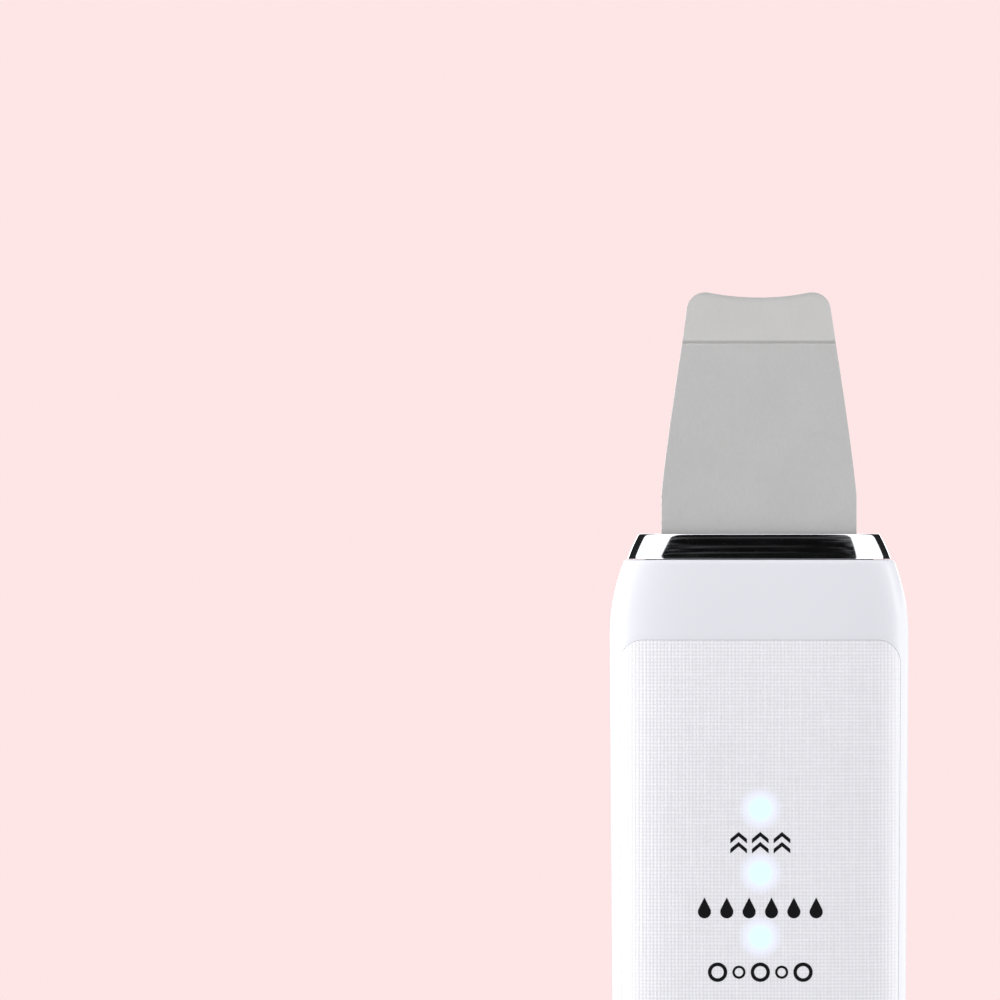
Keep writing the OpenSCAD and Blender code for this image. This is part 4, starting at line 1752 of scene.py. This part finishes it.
@dataclass
class PushButton:
    """One button: a ring in the panel, a dished cap and its printed sign."""

    name: str
    body: Body
    symbol: Symbol
    dish_radius: float = 30
    dish_depth: float = 0.35
    edge: float = 0.35
    ring_width: float = 1.3
    ring_gap: float = 0.06
    ring_crown: float = 0.3
    ring_crown_steps: int = 12
    ring_flange: float = 0.95
    ring_step: float = 0.65
    cap_flange: float = 1.25
    cap_flange_height: float = 0.7
    stem_radius: float = 2
    axis_hole: float = 0.002
    ink: float = 0.015

    def build(self, bench: Bench) -> None:
        """Builds the ring, the cap and the sign, and fits them.

        Args:
            bench: Where the pieces are dressed.
        """
        bench.fit(self.bezel(), Body.HANDLE, f"{self.name}_bezel")
        bench.fit(self.cap(), self.body, f"{self.name}_button_cap")
        bench.print_on(self.sign(), self.body, bench.book.grey_ink)

    def sizes(self) -> tuple[float, float, float]:
        """Measures the button in the frame.

        Returns:
            The cap's radius, the Y of its face and its height above the foot.
        """
        ring = cad_box(f"{self.name}_bezel")
        cap = cad_box(f"{self.name}_button_cap")
        return (ring[1].x - ring[0].x) / 2 - self.ring_width, cap[0].y, (ring[0].z + ring[1].z) / 2

    def bezel(self) -> bpy.types.Object:
        """Builds the ring, crowned at the front and stepped in behind its flange.

        Returns:
            The piece.
        """
        low, high = cad_box(f"{self.name}_bezel")
        radius, _, z = self.sizes()
        bore, outer = radius + self.ring_gap, high.x
        flange, barrel = low.y + self.ring_flange, outer - self.ring_step
        profile = []
        for share in spread(0, 1, self.ring_crown_steps):
            fall = self.ring_crown * (1 - math.sin(math.pi * share))
            profile.append((bore + (outer - bore) * share, low.y + fall))
        profile += [(outer, flange), (barrel, flange), (barrel, high.y), (bore, high.y)]
        return lathe(f"{self.name}_ring", profile, 0, z)

    def cap(self) -> bpy.types.Object:
        """Builds the cap with its flange and stem.

        Returns:
            The piece.
        """
        low, high = cad_box(f"{self.name}_button_cap")
        radius, face, z = self.sizes()
        flange_radius = (high.x - low.x) / 2
        back = high.y
        rim = radius - self.edge
        lip = math.sqrt(self.dish_radius**2 - (self.dish_radius - self.dish_depth) ** 2)
        profile = [(r, self.dish(r)) for r in spread(self.axis_hole, lip, 14)]
        profile += [(rim, face)]
        profile += [(radius - s, face + f) for s, f in round_steps(self.edge)[1:]]
        seat = back - self.cap_flange
        heel = seat + self.cap_flange_height
        profile += [(radius, seat), (flange_radius, seat), (flange_radius, heel)]
        profile += [(self.stem_radius, heel), (self.stem_radius, back), (self.axis_hole, back)]
        return lathe(f"{self.name}_cap", profile, 0, z)

    def dish(self, radius: float) -> float:
        """Gives the Y of the dished face at a radius.

        Args:
            radius: Distance from the button's axis.

        Returns:
            The Y.
        """
        face = self.sizes()[1]
        sag = self.dish_radius - math.sqrt(self.dish_radius**2 - radius**2)
        return face + self.dish_depth - sag

    def sign(self) -> bpy.types.Object:
        """Prints the button's sign in its dish: a broken ring with a bar, or three waves.

        Returns:
            The piece.
        """
        z = self.sizes()[2]
        builder = MeshBuilder(f"{self.name}_sign")

        def lift(x: float, up: float, depth: float) -> Vector:
            """Gives the point at a depth behind the dished face."""
            return Vector((x, self.dish(math.hypot(x, up - z)) + depth, up))

        if self.symbol is Symbol.POWER:
            gap, radii, bar_ends, half_bar = math.radians(34), (1.75, 2.15), (0.5, 2.4), 0.2
            turns = spread(math.pi / 2 + gap, math.pi * 5 / 2 - gap, 40)
            arcs = [[(radius * math.cos(turn), radius * math.sin(turn)) for turn in turns]
                    for radius in radii]
            bar = [[(x, up) for up in spread(*bar_ends, 4)] for x in (-half_bar, half_bar)]
            strips = [arcs, bar]
        else:
            reach, pitch, swing, pace, half_line = 1.8, 0.9, 0.28, 1.75, 0.17
            waves = [[(x, level + swing * math.sin(x * pace)) for x in spread(-reach, reach, 24)]
                     for level in (-pitch, 0.0, pitch)]
            strips = [([(x, up - half_line) for x, up in wave], [(x, up + half_line) for x, up in wave])
                      for wave in waves]
        for strip in strips:
            print_strip(builder, strip, lift, (0, z), self.ink)
        return builder.object()


# ---------------------------------------------------------------- inside, studio and camera


class Inside:
    """The parts that keep their CAD shapes: they only get their finishes."""

    def dress(self, bench: Bench) -> None:
        """Gives every CAD node its slot's finish.

        Args:
            bench: Holds the finishes and the slot names.
        """
        for node, piece in frame["nodes"].items():
            piece.data.materials.clear()
            piece.data.materials.append(bench.book.materials[bench.slots[node]])
        log.info("inside: %d CAD nodes dressed", len(frame["nodes"]))


@dataclass
class Softbox:
    """A rectangular lamp aimed at the object."""

    name: str
    place: tuple[float, float, float]
    size: Point
    watts: float
    colour: Colour = (1, 1, 1)
    aim: tuple[float, float, float] = (0, 0, 0.1)

    def light(self) -> None:
        """Hangs the lamp."""
        data = bpy.data.lights.new(self.name, "AREA")
        data.shape = "RECTANGLE"
        data.size, data.size_y = self.size
        data.energy = self.watts
        data.color = self.colour
        lamp = bpy.data.objects.new(self.name, data)
        lamp.location = self.place
        lamp.rotation_euler = (Vector(self.aim) - lamp.location).to_track_quat("-Z", "Y").to_euler()
        lamp.visible_camera = False
        bpy.context.scene.collection.objects.link(lamp)


@dataclass(frozen=True)
class Card:
    """A curved card round the object that only reflections see, placed by directions from the collar.

    Directions are in degrees: 0 across is straight in front of the object and 90 is on its right. low
    and high are the card's ends across at its lower and its upper edge, and heights are those edges.
    """

    name: str
    low: Point
    high: Point
    heights: Point
    distance: float
    level: float
    streaks: float = 0
    middle: tuple[float, float, float] = (0, 0, 0.135)
    cells: int = 8
    colour: Colour = (0.97, 0.98, 1)
    streak_grain: tuple[float, float, float] = (500, 60, 40)

    def stand(self) -> None:
        """Stands the card up."""
        builder = MeshBuilder(self.name)
        rows = []
        for share in spread(0, 1, self.cells):
            up = math.radians(self.heights[0] + (self.heights[1] - self.heights[0]) * share)
            ends = [math.radians(a + (b - a) * share) for a, b in zip(self.low, self.high)]
            row = []
            for turn in spread(*ends, self.cells):
                flat = math.cos(up)
                toward = Vector((math.sin(turn) * flat, -math.cos(turn) * flat, math.sin(up)))
                row.append((Vector(self.middle) + toward * self.distance) / MM)
            rows.append(builder.points(row))
        for one, two in zip(rows, rows[1:]):
            builder.quads(one, two)
        card = builder.object()
        wiring = Wiring(self.name)
        levels = (self.level, self.level + self.streaks)
        streak = wiring.remap(wiring.noise(self.streak_grain, 3), (0.5, 0.75), levels)
        glow = wiring.add("ShaderNodeEmission")
        wiring.link(streak, glow.inputs["Strength"])
        glow.inputs["Color"].default_value = (*self.colour, 1)
        wiring.tree.nodes.remove(wiring.shader)
        wiring.link(glow.outputs[0], wiring.tree.nodes["Material Output"].inputs["Surface"])
        card.data.materials.append(wiring.material)
        for ray in ("camera", "diffuse", "transmission", "shadow", "volume_scatter"):
            setattr(card, f"visible_{ray}", False)


@dataclass
class Studio:
    """A seamless pale floor and wall with a painted contact shadow, softboxes, dark cards and the camera, in
    metres.
    """

    backdrop: Colour = (0.991, 0.791, 0.791)
    floor_radius: float = 2.6
    sweep: float = 0.8
    wall_height: float = 4.0
    world_level: float = 0.8
    world_colour: Colour = (0.97, 0.975, 1.0)
    contact_reach: float = 0.09
    # painted shadow: how dark the floor's glow gets where the object is near
    painted_contact_shade: float = 0.5
    paper_grain: float = 400
    paper_drift: float = 0.003
    camera_distance: float = 1.6733
    camera_place: Point = (-0.0390, 0.1420)
    lens: float = 400

    def build(self) -> None:
        """Builds the studio."""
        self.backdrop_bowl()
        self.world()
        self.lights()
        self.camera()
        bpy.context.scene.view_settings.view_transform = "Standard"
        log.info("studio: backdrop, lamps and camera ready")

    def backdrop_bowl(self) -> None:
        """Makes the floor that sweeps up into the wall, seen by the camera only, its glow dimmed near the
        object: a painted contact shadow.
        """
        profile = [(0.001, 0.0)] + [(r, 0.0) for r in spread(0.05, self.floor_radius, 24)]
        for turn in spread(0, math.pi / 2, 12)[1:]:
            rise = self.sweep * (1 - math.cos(turn))
            profile.append((self.floor_radius + self.sweep * math.sin(turn), rise))
        profile.append((profile[-1][0], self.wall_height))
        builder = MeshBuilder("backdrop")
        turns = [2 * math.pi * i / 96 for i in range(96)]
        rows = [builder.points([Vector((r * math.cos(t), r * math.sin(t), z)) / MM for t in turns])
                for r, z in profile]
        for one, two in zip(rows, rows[1:]):
            builder.quads(one, two, closed=True)
        bowl = builder.object()
        wiring = Wiring("backdrop_paper")
        # painted shadow: ambient occlusion dims the floor's glow near the object, a contact shadow painted
        # into the floor rather than cast by the lamps
        shade = wiring.add("ShaderNodeAmbientOcclusion", samples=12)
        shade.inputs["Distance"].default_value = self.contact_reach
        grain = wiring.noise((self.paper_grain,) * 3, 1)
        paper = wiring.mix(grain, tuple(c * (1 - self.paper_drift) for c in self.backdrop), self.backdrop)
        near = wiring.remap(shade.outputs["AO"], (0.1, 1), (self.painted_contact_shade, 1))
        glow = wiring.add("ShaderNodeEmission")
        wiring.link(paper, glow.inputs["Color"])
        wiring.link(near, glow.inputs["Strength"])
        wiring.tree.nodes.remove(wiring.shader)
        wiring.link(glow.outputs[0], wiring.tree.nodes["Material Output"].inputs["Surface"])
        bowl.data.materials.append(wiring.material)
        for ray in ("diffuse", "glossy", "transmission", "shadow", "volume_scatter"):
            setattr(bowl, f"visible_{ray}", False)

    def world(self) -> None:
        """Fills the room with an even cool light."""
        world = bpy.data.worlds.new("room")
        world.use_nodes = True
        background = world.node_tree.nodes["Background"]
        background.inputs["Color"].default_value = (*self.world_colour, 1)
        background.inputs["Strength"].default_value = self.world_level
        bpy.context.scene.world = world

    def lights(self) -> None:
        """Hangs the softboxes and the cards that the bright parts mirror."""
        Softbox("key_left", (-1.0, -0.14, 0.2), (0.5, 1.0), 10.3).light()
        Softbox("fill_right", (1.0, -0.14, 0.2), (0.6, 1.0), 4.9).light()
        Softbox("top", (0.0, 0.1, 1.3), (0.8, 0.5), 3).light()
        Softbox("back_fill", (0.0, 1.1, 0.45), (1.0, 0.6), 3.0).light()
        Softbox("tip_strip", (0.0, -1.06, 0.68), (0.5, 0.12), 0.6, aim=(0, 0, 0.17)).light()
        cards = (
            Card("card_front", (-21, 21), (-14, 28), (31, 82), 0.8, 0.004, 0.2),
            Card("card_white_left", (-84, -15), (-84, -12), (24, 84), 1.0, 1.5),
            Card("card_white_right", (15, 84), (12, 84), (24, 84), 1.0, 1.5),
            Card("card_dark_left", (-168, -85), (-168, -85), (10, 75), 0.9, 0.02),
            Card("card_dark_right", (85, 168), (85, 168), (10, 75), 0.9, 0.02),
            Card("card_fill_right", (60, 150), (60, 150), (-40, 9), 0.85, 1.5),
        )
        for card in cards:
            card.stand()

    def camera(self) -> None:
        """Places the camera square to the front."""
        data = bpy.data.cameras.new("camera")
        data.lens = self.lens
        data.sensor_width = 36
        data.clip_end = 20
        camera = bpy.data.objects.new("camera", data)
        x, z = self.camera_place
        camera.location = (x, -self.camera_distance, z)
        camera.rotation_euler = (math.pi / 2, 0, 0)
        bpy.context.scene.collection.objects.link(camera)
        bpy.context.scene.camera = camera


# ---------------------------------------------------------------- the whole object


def handle_form() -> HandleForm:
    """Takes the handle's driving sizes from the frame."""
    shell = cad_box("front_shell")
    return HandleForm(shell[1].z, shell[1].x, -cad_box("front_panel")[0].y, cad_box("rear_electrode")[1].y)


def panel_outline(form: HandleForm, margin: float = 1.25, corners: Point = (9, 3.6)) -> Inlay:
    """Gives the front panel's outline.

    Args:
        form: The handle's shape.
        margin: Distance from the panel to the edge of the handle.
        corners: Radius of the corners at the foot and at the top.

    Returns:
        The outline.
    """
    low, high = cad_box("front_panel")
    return Inlay(lambda z: form.half_width(z) - margin, low.z, high.z, *corners)


def plate_outline(corner: float = 8) -> Inlay:
    """Gives the palm plate's outline, with corners of one radius."""
    low, high = cad_box("rear_electrode")
    return Inlay(lambda z: high.x, low.z, high.z, corner, corner, side_steps=24, columns=24)


def main() -> None:
    """Builds the object piece by piece, then the studio."""
    logging.basicConfig(level=logging.INFO, format="%(name)s %(message)s")
    pipes = [cad_centre(f"light_pipe_{number}") for number in (1, 2, 3)]
    bench = Bench(FinishBook([(pipe.x, pipe.z) for pipe in pipes]))
    form = handle_form()
    panel, plate = panel_outline(form), plate_outline()
    Inside().dress(bench)
    HandleShells(form, panel, plate).build(bench)
    FrontPanel(form, panel).build(bench)
    PalmPlate(form, plate).build(bench)
    ScrewCaps(form).build(bench)
    BladeHead().build(bench)
    PushButton("power", Body.POWER, Symbol.POWER).build(bench)
    PushButton("mode", Body.MODE, Symbol.MODE).build(bench)
    Studio().build()


if __name__ == "__main__":
    main()
